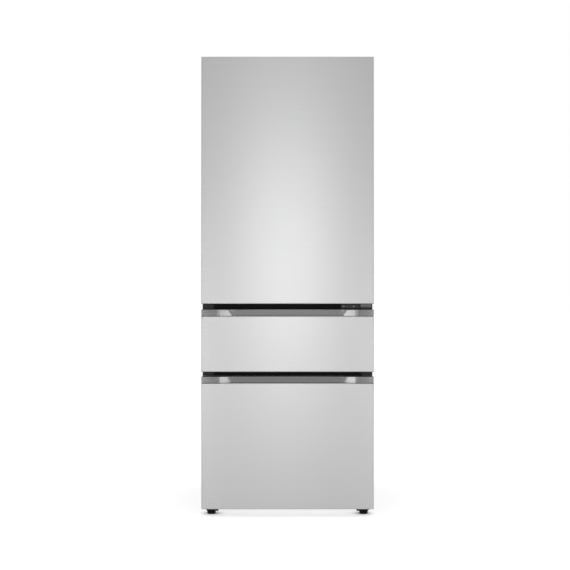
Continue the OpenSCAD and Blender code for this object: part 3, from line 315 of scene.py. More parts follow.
plated_steel = bright_metal("plated_steel", (0.45, 0.45, 0.46), 0.3, patch=0.05)
screw_steel = bright_metal("screw_steel", (0.17, 0.17, 0.175), 0.3)
coil_metal = bright_metal("coil_metal", (0.75, 0.75, 0.77), 0.35)
copper_tube = bright_metal("copper_tube", (0.78, 0.42, 0.27), 0.3, patch=0.2)
print("bright metals:", plated_steel.name, screw_steel.name, coil_metal.name, copper_tube.name)

# %% [markdown]
# ## Surfaces from numbers
# Most new pieces here are stacks of rounded rectangles: a tub, a lid, a seal, a bin. They could
# be boxes with bevels, but then every edge would get the same round. Here each rectangle is
# four quarter circles, worked out as one array, and a stack of them is a grid of points that
# only needs its quads. A profile in millimetres says how far each loop is drawn in and how
# high it lies.

# %% Arcs and profiles
def mm(*values):
    """Millimetres as metres."""
    return np.array(values, float) * MM


def arc(start, end, steps):
    """Angles from start to end in degrees, as radians."""
    return np.radians(np.linspace(start, end, steps))


def fillet(centre, radius, start, end, steps=6):
    """Arc of a profile: centre + radius (cos t, sin t)."""
    turn = arc(start, end, steps)
    return np.stack([centre[0] + radius * np.cos(turn), centre[1] + radius * np.sin(turn)], -1)


def profile(*stretches):
    """Joins stretches of a profile, each one (inset, height) pair or many, in mm."""
    return np.concatenate([np.reshape(stretch, (-1, 2)) for stretch in stretches]) * MM


# %% Rounded rectangles
TIGHTEST_CORNER = 0.8 * MM


def rounded_loops(half_a, half_b, radii, steps=8):
    """Rounded rectangles, one a row: corner centre + r (cos t, sin t), t over a quarter a corner.

    radii is one radius a row, or four a row: (+a +b), (-a +b), (-a -b), (+a -b)."""
    half_a, half_b = (np.atleast_1d(np.asarray(v, float)) for v in (half_a, half_b))
    radii = np.asarray(radii, float)
    radii = radii[:, None] if radii.ndim == 1 else radii
    radii = np.repeat(np.broadcast_to(radii, (len(half_a), 4)), steps, axis=1)
    turn = np.concatenate([arc(90 * k, 90 * k + 90, steps) for k in range(4)])[None, :]
    sign_a = np.repeat([1, -1, -1, 1], steps)[None, :]
    sign_b = np.repeat([1, 1, -1, -1], steps)[None, :]
    a = sign_a * (half_a[:, None] - radii) + radii * np.cos(turn)
    b = sign_b * (half_b[:, None] - radii) + radii * np.sin(turn)
    return a, b


def level_loops(centre, half, line, corner):
    """Level loops round a centre (x, y, z) that follow a profile line of (inset, height)."""
    inset, height = line[:, 0], line[:, 1]
    radii = np.maximum(np.atleast_2d(corner) - inset[:, None], TIGHTEST_CORNER)
    a, b = rounded_loops(half[0] - inset, half[1] - inset, radii)
    z = np.broadcast_to(height[:, None], a.shape)
    return np.stack([a, b, z], -1) + np.asarray(centre, float)


# %% Soft boxes and turned pieces
TIGHTEST_SHARE = 0.15  # the corners of a soft box keep this share of its radius


def soft_box(low, high, radius, axis=2, steps=4):
    """A box with softened edges: rounded rectangles along an axis, drawn in at both ends."""
    low, high = np.asarray(low, float), np.asarray(high, float)
    first, second = [k for k in range(3) if k != axis]
    half, centre = (high - low) / 2, (high + low) / 2
    turn = arc(0, 90, steps)
    draw_in = radius * (1 - np.sin(turn))
    inset = np.concatenate([draw_in, draw_in[::-1]])
    along = np.concatenate([low[axis] + radius * (1 - np.cos(turn)),
                            high[axis] - radius * (1 - np.cos(turn[::-1]))])
    a, b = rounded_loops(half[first] - inset, half[second] - inset,
                         np.maximum(radius - inset, radius * TIGHTEST_SHARE), steps)
    rings = np.empty(a.shape + (3,))
    rings[..., first] = a + centre[first]
    rings[..., second] = b + centre[second]
    rings[..., axis] = along[:, None]
    return rings


def lathe(radii, heights, steps):
    """Circles r (cos t, sin t), one above the other along Z."""
    turn = np.linspace(0, 2 * np.pi, steps, endpoint=False)[None, :]
    radii = np.asarray(radii, float)[:, None]
    heights = np.broadcast_to(np.asarray(heights, float)[:, None], (len(radii), steps))
    return np.stack([radii * np.cos(turn), radii * np.sin(turn), heights], -1)


# %% [markdown]
# ## Shells
# A drawer holds four like tubs, and fifteen like screws hold the hinges, the rear cover and the
# control-board box. Each could be an object of its own, but one mesh for a set is easier to
# place and to move with its body. A shell gathers stacks of loops and joins them with quads.
# Doubled points are merged before the normals are turned outwards, and only edges past an
# angle stay sharp.

# %% Shells
SMOOTH_ANGLE = 35
MERGE_GAP, SLIVER = 0.002 * MM, 0.001 * MM


def keep_flats_flat(piece):
    """Weighted normals, so that a rounded edge doesn't shade the flat face beside it."""
    piece.modifiers.new("normals", "WEIGHTED_NORMAL").keep_sharp = True


class Shell:
    """Gathers stacks of loops into one mesh."""

    def __init__(self):
        self.points, self.faces, self.count = [], [], 0

    def stack(self, rings, closed=False):
        """Joins loops (rows x columns x 3) with quads.

        Flat faces end the stack, or in a closed one the last row meets the first."""
        rows, columns = rings.shape[:2]
        row = np.arange(rows if closed else rows - 1)[:, None]
        column = np.arange(columns)[None, :]
        row_after, beside = (row + 1) % rows, (column + 1) % columns
        quads = np.stack([row * columns + column, row * columns + beside,
                          row_after * columns + beside, row_after * columns + column], -1)
        self.faces.extend((quads.reshape(-1, 4) + self.count).tolist())
        if not closed:
            loop = np.arange(columns) + self.count
            self.faces.extend([loop[::-1].tolist(), (loop + (rows - 1) * columns).tolist()])
        self.points.append(rings.reshape(-1, 3))
        self.count += rows * columns

    def build(self, name, material, body, slot, replaces=(), smooth_angle=SMOOTH_ANGLE):
        """Makes the piece: merged, normals outwards, smooth by angle, riding on its body."""
        mesh = bpy.data.meshes.new(name)
        mesh.from_pydata(np.concatenate(self.points).tolist(), [], self.faces)
        work = bmesh.new()
        work.from_mesh(mesh)
        bmesh.ops.remove_doubles(work, verts=work.verts, dist=MERGE_GAP)
        bmesh.ops.dissolve_degenerate(work, edges=work.edges, dist=SLIVER)
        bmesh.ops.recalc_face_normals(work, faces=work.faces)
        work.to_mesh(mesh)
        work.free()
        mesh.shade_smooth()
        mesh.set_sharp_from_angle(angle=math.radians(smooth_angle))
        mesh.materials.append(material)
        piece = bpy.data.objects.new(name, mesh)
        bpy.context.scene.collection.objects.link(piece)
        keep_flats_flat(piece)
        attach(piece, body)
        if replaces:
            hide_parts(*replaces)
        print(name, "made with", len(mesh.polygons), "faces")


# %% [markdown]
# ## Finishing the parts as they come
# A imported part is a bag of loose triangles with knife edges. No real edge is that sharp, and
# a bevel of half a millimetre catches the thin bright line that makes a part look solid. The
# mesh itself stays as it came, and modifiers do the work: a small geometry group welds the
# triangles and smooths by angle, planar faces are joined so that the bevel runs cleanly, and
# weighted normals keep the flats flat.

# %% Weld and smooth
WELD_GAP = 0.01 * MM


def weld_and_smooth_group():
    """A node group that merges doubled points and smooths all but the edges past an angle."""
    group = bpy.data.node_groups.new("weld_and_smooth", "GeometryNodeTree")
    group.interface.new_socket("Geometry", in_out="INPUT", socket_type="NodeSocketGeometry")
    group.interface.new_socket("Geometry", in_out="OUTPUT", socket_type="NodeSocketGeometry")
    start = group.nodes.new("NodeGroupInput")
    merge = group.nodes.new("GeometryNodeMergeByDistance")
    merge.inputs["Distance"].default_value = WELD_GAP
    angle = group.nodes.new("GeometryNodeInputMeshEdgeAngle")
    above = group.nodes.new("FunctionNodeCompare")
    above.operation = "GREATER_THAN"
    above.inputs[1].default_value = math.radians(SMOOTH_ANGLE)
    faces = group.nodes.new("GeometryNodeSetShadeSmooth")
    edges = group.nodes.new("GeometryNodeSetShadeSmooth")
    edges.domain = "EDGE"
    edges.inputs["Shade Smooth"].default_value = False
    end = group.nodes.new("NodeGroupOutput")
    link = group.links.new
    link(start.outputs[0], merge.inputs["Geometry"])
    link(merge.outputs["Geometry"], faces.inputs["Geometry"])
    link(faces.outputs["Geometry"], edges.inputs["Geometry"])
    link(angle.outputs["Unsigned Angle"], above.inputs[0])
    link(above.outputs["Result"], edges.inputs["Selection"])
    link(edges.outputs["Geometry"], end.inputs[0])
    return group


weld_and_smooth = weld_and_smooth_group()
print("nodes in the weld group:", len(weld_and_smooth.nodes))

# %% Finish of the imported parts
EDGE, SHEET_EDGE = 0.5 * MM, 0.3 * MM
FLAT_ANGLE = 0.5
BEVEL_ANGLE = 40


def dress(names, material, bevel=0.0, segments=2):
    """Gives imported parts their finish: welded, smoothed by angle and, if asked, bevelled."""
    for name in names.split():
        part = nodes[name]
        part.data.materials.clear()
        part.data.materials.append(material)
        part.modifiers.new("weld", "NODES").node_group = weld_and_smooth
        if bevel > 0:
            flats = part.modifiers.new("flats", "DECIMATE")
            flats.decimate_type = "DISSOLVE"
            flats.angle_limit = math.radians(FLAT_ANGLE)
            edge = part.modifiers.new("edge", "BEVEL")
            edge.width = bevel
            edge.segments = segments
            edge.limit_method = "ANGLE"
            edge.angle_limit = math.radians(BEVEL_ANGLE)
            part.modifiers.new("smooth", "NODES").node_group = weld_and_smooth
        keep_flats_flat(part)


dress("upper_door_skin middle_front_skin lower_front_skin", steel_skin)
dress("left_side_panel right_side_panel top_panel", case_paint, SHEET_EDGE)
dress("back_panel machine_cover control_board_box machine_base", zinc_sheet, SHEET_EDGE)
dress("front_rails base_brackets", black_paint, SHEET_EDGE)
dress("compressor condenser", black_paint)
dress("upper_liner middle_liner lower_liner", liner_white, EDGE)
dress("upper_door_liner middle_front_liner lower_front_liner", liner_white, EDGE)
dress("duct_panel control_panel", panel_white, EDGE)
dress("evaporator_fan condenser_fan", panel_white)
dress("fixed_rails middle_rail_slides middle_rail_links", plated_steel, SHEET_EDGE)
dress("lower_rail_slides lower_rail_links", plated_steel, SHEET_EDGE)
dress("cabinet_foam upper_door_foam middle_front_foam lower_front_foam", foam_yellow)
dress("evaporator_fan_motor condenser_fan_motor drain_tray", black_plastic, SHEET_EDGE)
dress("left_foot right_foot left_roller right_roller", black_plastic, EDGE)
dress("evaporator", coil_metal)
dress("compressor_mounts", black_rubber, EDGE)
dress("refrigerant_pipes", copper_tube)
dress("shelf_glasses", shelf_glass, EDGE)
dress("top_hinge", plated_steel, EDGE)
dress("top_hinge_cover", case_plastic, EDGE, segments=3)
dress("mid_hinge", hinge_paint, EDGE)
print("parts dressed as they come:", sum(bool(part.modifiers) for part in nodes.values()))

# %% [markdown]
# ## The grips
# A grip is a metal strip let into the top of a drawer front. Its ends stand flush, then a
# smooth curve leads in to a recessed middle, whose face leans so that it darkens downwards.
# Behind the strip's top edge lies the finger trough. Cut out of a block, the curved face would
# show creases where the highlight runs over it, so the strip is one grid: at each place along
# X a closed section runs up the face, over the top, down into the trough and back under.

# %% Grip sizes
GRIP_END, GRIP_ARC, GRIP_RECESS = mm(65, 70, 9)
GRIP_WALL = 4 * MM
TROUGH_X = 270 * MM
GRIP_LEAN, LEAN_POWER = 0.25, 4
ARC_SWING = 0.75 * math.pi  # stops short of half a wave, which leaves a crease at the flush end
TOP_ROUND, BOTTOM_ROUND, END_ROUND = mm(1.6, 1.2, 1.5)
ARC_STEPS, END_STEPS, ROUND_STEPS, FACE_STEPS = 26, 6, 10, 8
GRIP_SMOOTH_ANGLE = 11


# %% Grips
def grip(name, node, body):
    """Grid over x and the section; its face is y = front + d + lean(d) d (1/2 - s), s upwards.

    d(x) = recess (cos(swing u) - cos(swing)) / (1 - cos(swing)), u from 0 at the recess to 1 at
    the flush end, and lean(d) = lean (d / recess)^4: the ends stand upright, the middle leans."""
    low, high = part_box(node)
    half_w, front, rear = high[0], low[1], high[1]
    bottom, top = low[2], high[2]
    end_x = half_w - GRIP_END
    # the trough's end stands twice in the line: the first copy is open on top, the second closed
    curve = np.linspace(end_x - GRIP_ARC, end_x, ARC_STEPS)
    end_line = half_w - END_ROUND * (1 - np.sin(arc(0, 90, END_STEPS)))
    half_line = np.concatenate([[0], curve, [TROUGH_X] * 2, end_line])
    half_open = np.arange(len(half_line)) < len(curve) + 2
    x = np.concatenate([-half_line[::-1], half_line[1:]])
    open_top = np.concatenate([half_open[::-1], half_open[1:]])
    u = np.clip((np.abs(x) - end_x) / GRIP_ARC + 1, 0, 1)
    crease = math.cos(ARC_SWING)
    depth = GRIP_RECESS * (np.cos(ARC_SWING * u) - crease) / (1 - crease)
    past_end = np.clip(np.abs(x) - (half_w - END_ROUND), 0, END_ROUND)
    end_drop = END_ROUND - np.sqrt(END_ROUND ** 2 - past_end ** 2)

    turn = arc(0, 90, ROUND_STEPS)
    face_z = np.concatenate([
        bottom + BOTTOM_ROUND * (1 - np.cos(turn)),
        np.linspace(bottom + BOTTOM_ROUND, top - TOP_ROUND, FACE_STEPS + 2)[1:-1],
        top - TOP_ROUND * (1 - np.sin(turn))])
    face_in = np.concatenate([BOTTOM_ROUND * (1 - np.sin(turn)), np.zeros(FACE_STEPS),
                              TOP_ROUND * (1 - np.cos(turn))])
    s = (face_z - bottom) / (top - bottom)
    lean = GRIP_LEAN * (depth / GRIP_RECESS) ** LEAN_POWER * depth
    face_y = front + depth[:, None] + lean[:, None] * (0.5 - s) + face_in + end_drop[:, None]

    wall_y = front + GRIP_RECESS + GRIP_WALL
    floor_z = np.where(open_top, bottom + GRIP_WALL, top)
    top_z, bottom_z = np.full(len(x), top), np.full(len(x), bottom)
    back_y = np.array([wall_y, wall_y, rear - GRIP_WALL, rear - GRIP_WALL, rear, rear])
    back_z = np.stack([top_z, floor_z, floor_z, top_z, top_z, bottom_z], -1)
    section_y = np.concatenate([face_y, np.broadcast_to(back_y, back_z.shape)], 1)
    section_z = np.concatenate([np.broadcast_to(face_z, face_y.shape), back_z], 1)
    section_x = np.broadcast_to(x[:, None], section_y.shape)
    shell = Shell()
    shell.stack(np.stack([section_x, section_y, section_z], -1))
    shell.build(name, grip_metal, body, "grip_metal", [node], GRIP_SMOOTH_ANGLE)


grip("middle_grip_strip", "middle_grip", "middle_drawer")
grip("lower_grip_strip", "lower_grip", "lower_drawer")

# %% [markdown]
# ## Seals
# A magnetic door seal is a bellows: a foot pushed into the liner, two folds and a magnet
# head. A curve with a section as its bevel would do for a straight stretch, but it pinches the
# folds at the corners. So the half width follows a squared cosine over the seal's depth, and
# the section is swept round the front as a closed stack of rounded rectangles.

# %% Gaskets
GASKET_W, GASKET_CORNER, GASKET_TIGHTEST = mm(16, 18, 1)
NECK, FOLD = 5.2, 2.8
FOLD_STEPS = 25


def gasket(name, node, body):
    """Section half width w(t) = neck + fold cos^2(2 pi t) mm, t from foot to magnet head."""
    low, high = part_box(node)
    t = np.linspace(0, 1, FOLD_STEPS)
    half = (NECK + FOLD * np.cos(2 * np.pi * t) ** 2) * MM
    inset = GASKET_W / 2 + np.concatenate([-half, half[::-1]])
    depth = low[1] + (high[1] - low[1]) * np.concatenate([t, t[::-1]])
    a, b = rounded_loops((high[0] - low[0]) / 2 - inset, (high[2] - low[2]) / 2 - inset,
                         np.maximum(GASKET_CORNER - inset, GASKET_TIGHTEST))
    y = np.broadcast_to(depth[:, None], a.shape)
    shell = Shell()
    shell.stack(np.stack([a, y, b + (high[2] + low[2]) / 2], -1), closed=True)
    shell.build(name, gasket_rubber, body, "gasket_rubber", [node])


gasket("upper_door_seal", "upper_door_gasket", "upper_door")
gasket("middle_seal", "middle_gasket", "middle_drawer")
gasket("lower_seal", "lower_gasket", "lower_drawer")

# %% [markdown]
# ## Screws
# A pan head is a flat dome with a cross pressed into it. Cutting the cross out of a dome would
# leave long thin faces. Instead the head is a polar grid: rings that shrink to the middle, with
# the dome's height less the cross where the cross lies.

# %% Screw head
HEAD_R, HEAD_SIDE, HEAD_H, SHANK_R, SHANK_L = 6.0, 1.6, 3.0, 2.5, 14.0
DOME_POWER = 0.6
LAST_RING = 88  # degrees, which leaves a tiny flat in the middle
CROSS_HALF, CROSS_REACH, CROSS_DEPTH = 0.85, 3.6, 1.7
CROSS_SIDE_SLOPE, CROSS_END_SLOPE = 0.3, 0.5
HEAD_RINGS, HEAD_POINTS = 26, 64


def ramp(value, width):
    """0 to 1 across a width, centred on zero."""
    return np.clip(value / width + 0.5, 0, 1)


def screw_rings():
    """Dome z = side + (h - side)(1 - (r/R)^2)^0.6, less depth * cross(x, y), in mm along +Z."""
    r = HEAD_R * np.cos(arc(0, LAST_RING, HEAD_RINGS))
    dome = HEAD_SIDE + (HEAD_H - HEAD_SIDE) * (1 - (r / HEAD_R) ** 2) ** DOME_POWER
    rings = lathe(r, dome, HEAD_POINTS)
    bars = np.maximum(ramp(CROSS_HALF - np.abs(rings[..., 0]), CROSS_SIDE_SLOPE),
                      ramp(CROSS_HALF - np.abs(rings[..., 1]), CROSS_SIDE_SLOPE))
    rings[..., 2] -= CROSS_DEPTH * bars * ramp(CROSS_REACH - r, CROSS_END_SLOPE)[:, None]
    shank = lathe([SHANK_R, SHANK_R, HEAD_R], [-SHANK_L, 0, 0], HEAD_POINTS)
    return np.concatenate([shank, rings]) * MM


# %% Screws in place
TO_FRONT, UP, TO_BACK = -1, 0, 1  # the way that a head looks
COVER_Y, BOARD_BOX_Y = 356.5, 355.5
SCREWS = [(x, -299, 814, TO_FRONT) for x in (220, 261)]  # mid hinge
SCREWS += [(x, y, 1768, UP) for x, y in ((269, -234), (311, -234), (269, -274))]  # top hinge
SCREWS += [(x, COVER_Y, z, TO_BACK) for x in (-325, 325) for z in (62, 158.5, 260)]
SCREWS += [(x, BOARD_BOX_Y, z, TO_BACK) for x in (-106, 106) for z in (1444, 1694)]
pan_head = screw_rings()
shell = Shell()
for x, y, z, way in SCREWS:
    turned = pan_head
    if way != UP:
        turned = np.stack([pan_head[..., 0], way * pan_head[..., 2], pan_head[..., 1]], -1)
    shell.stack(turned + mm(x, y, z))
shell.build("pan_head_screws", screw_steel, "cabinet", "hinge_steel", ["screws"])

# %% [markdown]
# ## Hinge cap, shelves and the upper room
# A moulded cap covers the hinge's stopper. Each glass shelf slides into a plastic trim in
# front and behind. A lamp lens sits in the ceiling, and the room's controls are marks behind a
# strip of dark glass. All of them are small mouldings, and a soft box set in place gives each
# its rounded edges without any cutting.

# %% Hinge cap, shelf trims, lamp lens and control glass
CAP = mm(283, -345.3, 813.2), mm(325, -316.7, 824.7)
LENS = mm(-80, -130, 1698), mm(80, -70, 1704.5)
GLASS = mm(-108, -246, 1688.6), mm(108, -180, 1690.3)
SHELF_Z, TRIM_X = (1067.25, 1279.5, 1491.75), 282  # the glasses' undersides, half a trim's length
# each trim's two faces along Y, its lower and upper edge from the glass's underside, its round
TRIMS = [(-207, -193, -4, 8, 2), (208, 222, 0.2, 12, 1.5)]


def soft_piece(name, corners, radius, material, slot):
    """One soft box between two corners, as a piece of the cabinet."""
    shell = Shell()
    shell.stack(soft_box(*corners, radius))
    shell.build(name, material, "cabinet", slot)


soft_piece("hinge_stopper_cap", CAP, 1.5 * MM, bush_plastic, "case_plastic")
shell = Shell()
for z in SHELF_Z:
    for face, rear, lower, upper, radius in TRIMS:
        shell.stack(soft_box(mm(-TRIM_X, face, z + lower), mm(TRIM_X, rear, z + upper),
                             radius * MM, axis=0))
shell.build("shelf_trims", panel_white, "cabinet", "white_plastic")
soft_piece("room_lamp_lens", LENS, 3 * MM, lamp_white, "white_plastic")
soft_piece("control_glass", GLASS, 0.6 * MM, black_glass, "black_plastic")

# %% Control marks
DOT_X, DASH_X, MARKS_Y = (-84, -56, 56, 84), (-18, 0, 18), -212
DASH_HALF_X, DASH_HALF_Y, DASH_ROUND = 5, 2, 0.12
DASH_LOW, DASH_HIGH = 1688.4, 1688.7
DOT_RADII, DOT_Z = mm(2.8, 3, 2.8), mm(1688.35, 1688.5, 1688.7)

dot = lathe(DOT_RADII, DOT_Z, 24)
shell = Shell()
for x in DOT_X:
    shell.stack(dot + mm(x, MARKS_Y, 0))
for x in DASH_X:
    shell.stack(soft_box(mm(x - DASH_HALF_X, MARKS_Y - DASH_HALF_Y, DASH_LOW),
                         mm(x + DASH_HALF_X, MARKS_Y + DASH_HALF_Y, DASH_HIGH),
                         DASH_ROUND * MM))
shell.build("control_marks", lamp_white, "cabinet", "white_plastic")

# %% [markdown]
# ## Door bins
# The bins are clear mouldings that hook on ledges of the inner door. Seen from above a bin
# has two large corners towards the room; its walls draw in below a thick rim. A single sheet
# would bend light like a solid block, so the profile goes up the inside and down the outside,
# and the wall has its real thickness.

# %% Door bins
BIN_HALF = mm(247.5, 45)
BIN_CORNERS = mm(25, 25, 4, 4)
BIN_Y, BIN_Z = -260, (905, 1164.67, 1424.33)
BIN_LINE = profile((12, 3), fillet((9.5, 9), 6, 270, 180), (3.1, 76), (2.8, 84),
                   fillet((1.4, 83.6), 1.4, 0, 180), (0, 77), (1.1, 75), (1.1, 8),
                   fillet((7.1, 6), 6, 180, 270), (12, 0))
shell = Shell()
for z in BIN_Z:
    shell.stack(level_loops(mm(0, BIN_Y, z), BIN_HALF, BIN_LINE, BIN_CORNERS))
shell.build("clear_door_bins", bin_plastic, "upper_door", "clear_plastic", ["door_bins"])

# %% [markdown]
# ## Kimchi tubs and lids
# The drawers hold lidded tubs. A tub tapers, has a shallow waist band and a rolled rim. Its
# lid has a plug, a raised pad with a vent in its middle, and a latch at the front and back.
# Scaling one finished tub to both sizes would stretch its rounds, so each size is drawn from
# the same lines with its own height. The places repeat the construction model's: two columns,
# and two rows or two layers.

# %% Tub and lid lines
TUB_W = 260.5
TUB_X = (-132.25, 132.25)
MIDDLE_TUBS = dict(d=240, h=138, ys=(-170.5, 73.5), zs=(602.5,))
LOWER_TUBS = dict(d=399, h=170, ys=(-91,), zs=(90.5, 274.5))
TAPER = 3.0
WALL_END, WALL_STEPS = 9, 30  # the straight wall ends 9 mm over the foot and under the top
BAND_DEPTH, BAND_START, BAND_END, BAND_SLOPE = 0.9, 0.22, 0.8, 0.05


def tub_line(h):
    """Inner floor and wall, rim, outer wall; that draws in by taper (1 - z/h) and the band."""
    z = np.linspace(WALL_END, h - WALL_END, WALL_STEPS)
    s = (z - WALL_END) / (h - 2 * WALL_END)
    band = BAND_DEPTH * ramp(s - BAND_START, BAND_SLOPE) * ramp(BAND_END - s, BAND_SLOPE)
    outer = np.stack([TAPER * (1 - z / h) + band, z], -1)[::-1]
    return profile((16, 2.5), fillet((15.3, 12.5), 10, 270, 180), (2.7, h - 2),
                   fillet((1.7, h - 1), 1, 0, 90), fillet((-3.5, h - 1.2), 1.2, 90, 180),
                   (-4.7, h - 6), (-4.2, h - 6.5), (0, h - 7), outer,
                   fillet((TAPER + 8, 8), 8, 180, 270), (20, 0), (22, 1.2))


LID_LINE = profile((14, -5), (9.5, -5), (8.5, -4), (8.5, 0), (0.8, 0), (0, 0.8), (0, 10.5),
                   fillet((3.5, 10.5), 3.5, 180, 90), (9, 14), (10.2, 13.6), (12.4, 10),
                   (13.6, 9.6), (38, 9.6), (39.4, 10), (42, 11.8), (43.6, 12.2))
vent = lathe(mm(16, 16, 14.5, 13, 9, 8, 1), mm(11, 13, 13.8, 13, 13, 13.9, 13.9), 32)
print("loops of a middle tub:", len(tub_line(MIDDLE_TUBS["h"])), "| of a lid:", len(LID_LINE))

# %% Latches
LATCH_HALF_X, LATCH_DOWN, LATCH_UP, LATCH_GAP, LATCH_PROUD = 35, 18, 12, 0.1, 2.9
RIB_HALF_X, RIB_PROUD, RIB_H, RIBS_Z = 16, 0.1, 1.2, (-15, -12.5, -10)
LATCH_ROUND, RIB_ROUND = mm(1.2, 0.4)


def latch_boxes(x, y, top, face, side):
    """A plate over the joint of tub and lid, with three ribs for the finger, as soft boxes."""
    near, far = sorted((y + side * (face + LATCH_GAP), y + side * (face + LATCH_PROUD)))
    yield soft_box(mm(x - LATCH_HALF_X, near, top - LATCH_DOWN),
                   mm(x + LATCH_HALF_X, far, top + LATCH_UP), LATCH_ROUND)
    for z in RIBS_Z:
        yield soft_box(mm(x - RIB_HALF_X, near - RIB_PROUD, top + z),
                       mm(x + RIB_HALF_X, far + RIB_PROUD, top + z + RIB_H), RIB_ROUND, axis=0)


# %% Tubs in place
TUB_INSET, LID_INSET = 8, 3  # from the space of a tub to its wall and to its lid's edge
TUB_CORNER, LID_CORNER = mm(22, 27)


def tubs(name, lid_name, latch_name, nodes_replaced, body, d, h, ys, zs):
    """A tub with its lid, vent and latches at each place."""
    tub, lid, latch = Shell(), Shell(), Shell()
    tub_half = mm(TUB_W / 2 - TUB_INSET, d / 2 - TUB_INSET)
    lid_half = mm(TUB_W / 2 - LID_INSET, d / 2 - LID_INSET)
    for x, y, z in [(x, y, z) for x in TUB_X for y in ys for z in zs]:
        tub.stack(level_loops(mm(x, y, z), tub_half, tub_line(h), TUB_CORNER))
        lid.stack(level_loops(mm(x, y, z + h), lid_half, LID_LINE, LID_CORNER))
        lid.stack(vent + mm(x, y, z + h))
        for side in (-1, 1):
            for rings in latch_boxes(x, y, z + h, d / 2 - LID_INSET, side):
                latch.stack(rings)
    tub.build(name, tub_plastic, body, "container_plastic", nodes_replaced[:1])
    lid.build(lid_name, lid_plastic, body, "lid_plastic", nodes_replaced[1:])
    latch.build(latch_name, tub_plastic, body, "container_plastic")


tubs("middle_tubs", "middle_tub_lids", "middle_tub_latches", ["middle_containers", "middle_lids"],
     "middle_drawer", **MIDDLE_TUBS)
tubs("lower_tubs", "lower_tub_lids", "lower_tub_latches", ["lower_containers", "lower_lids"],
     "lower_drawer", **LOWER_TUBS)

# %% [markdown]
# ## Drawer baskets
# A basket is a shallow tray, a band round its top and upright bars between, with cross
# bands on the deep one. Openings could be cut from a full box, but bars and bands that are
# built one by one keep their softened edges.

# %% Basket lines
BASKET_WALL = 2.5
BASKET_CORNER = 10 * MM
TOP_BAND = 16


def tray_line(h):
    """A tray of height h: inner floor and wall, softened edge, outer wall and foot."""
    return profile((9, BASKET_WALL), fillet((7.5, 7.5), 5, 270, 180), (BASKET_WALL, h - 1),
                   (BASKET_WALL - 0.7, h), (0.7, h), (0, h - 1), (0, 6),
                   fillet((6, 6), 6, 180, 270), (9, 0))


def band_line(start, end):
    """A band's closed section from height start to end, with a bead inside its top."""
    return profile((0.6, start), (0, start + 0.6), (0, end - 0.8), (0.8, end),
                   (BASKET_WALL + 0.3, end), (BASKET_WALL + 1, end - 0.8),
                   (BASKET_WALL, end - 3), (BASKET_WALL, start + 0.6),
                   (BASKET_WALL - 0.6, start))


# %% Baskets
BAR_PITCH, BAR_HALF, BAR_ROUND = 24, 4, 0.6
CORNER_FREE = 16  # no bar's middle stands nearer to a corner
BAR_SINK = 0.15  # a bar lies this far inside the wall's faces
BAR_FOOT, BAR_TOP = 2, 15  # below the tray's edge, and below the basket's


def basket(name, node, body, tray_h, bands):
    """Tray and bands as stacks of loops, bars at an even pitch along all four sides."""
    low, high = (np.array(corner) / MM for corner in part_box(node))
    middle, half = (low + high) / 2, (high - low) / 2
    h = high[2] - low[2]
    place = mm(middle[0], middle[1], low[2])
    shell = Shell()
    shell.stack(level_loops(place, half[:2] * MM, tray_line(tray_h), BASKET_CORNER))
    for start, end in bands + [(h - TOP_BAND, h)]:
        shell.stack(level_loops(place, half[:2] * MM, band_line(start, end), BASKET_CORNER),
                    closed=True)
    for axis in (0, 1):
        order = [axis, 1 - axis]
        reach = half[axis] - CORNER_FREE
        across = half[1 - axis] - BASKET_WALL / 2
        size = np.array([BAR_HALF, BASKET_WALL / 2 - BAR_SINK])[order]
        for along in np.linspace(-reach, reach, int(2 * reach // BAR_PITCH) + 1):
            for side in (-1, 1):
                centre = middle[:2] + np.array([along, side * across])[order]
                shell.stack(soft_box(mm(*(centre - size), low[2] + tray_h - BAR_FOOT),
                                     mm(*(centre + size), high[2] - BAR_TOP), BAR_ROUND * MM))
    shell.build(name, basket_plastic, body, "white_plastic", [node])


basket("middle_drawer_basket", "middle_basket", "middle_drawer", 22, [])
basket("lower_drawer_basket", "lower_basket", "lower_drawer", 30, [(108, 120), (200, 212)])

# %% [markdown]
# ## Louvres
# The slots of the rear cover have pressed hoods, so that dust and fingers stay out. A bump
# would vanish seen from the side, so each hood is a thin curved lip that tapers off at its
# ends, as pressed sheet does. It is worked out once and set over every slot.

# %% Louvre hoods
SLOT_X, SLOT_H = (-160, -60, 60, 160), 6
SLOT_Z = tuple(102 + 15 * row for row in range(9))
HOOD_OUT, HOOD_DROP, HOOD_HALF_X = 4.2, 8, 44
HOOD_OUT_INSIDE, HOOD_DROP_INSIDE = 3.4, 7.4
HOOD_ROOT, HOOD_SHEET, HOOD_OVER_SLOT = 0.2, 0.6, 1.2
HOOD_END_POWER, HOOD_END_SHARE = 6, 0.995
HOOD_COLUMNS, HOOD_ROWS = 21, 9


def hood():
    """Quarter-ellipse lip y = out sin t, z = -drop (1 - cos t), t over a quarter turn.

    Along X it shrinks to almost nothing by (1 - share u^6)^(1/2), u from -1 to 1."""
    u = np.linspace(-1, 1, HOOD_COLUMNS)
    end = np.sqrt(1 - HOOD_END_SHARE * u ** HOOD_END_POWER)[:, None]
    turn = arc(0, 90, HOOD_ROWS)
    outer = np.stack([HOOD_OUT * np.sin(turn), -HOOD_DROP * (1 - np.cos(turn))], -1)
    inner = np.stack([HOOD_OUT_INSIDE * np.sin(turn) - HOOD_ROOT,
                      -HOOD_DROP_INSIDE * (1 - np.cos(turn)) - HOOD_SHEET], -1)[::-1]
    loop = np.concatenate([outer, inner])
    x = np.broadcast_to(HOOD_HALF_X * u[:, None], (len(u), len(loop)))
    return np.stack([x, loop[None, :, 0] * end, loop[None, :, 1] * end], -1) * MM


shell = Shell()
lip = hood()
for x in SLOT_X:
    for z in SLOT_Z:
        shell.stack(lip + mm(x, COVER_Y, z + SLOT_H + HOOD_OVER_SLOT))
shell.build("louvre_hoods", zinc_sheet, "cabinet", "galvanised_steel")

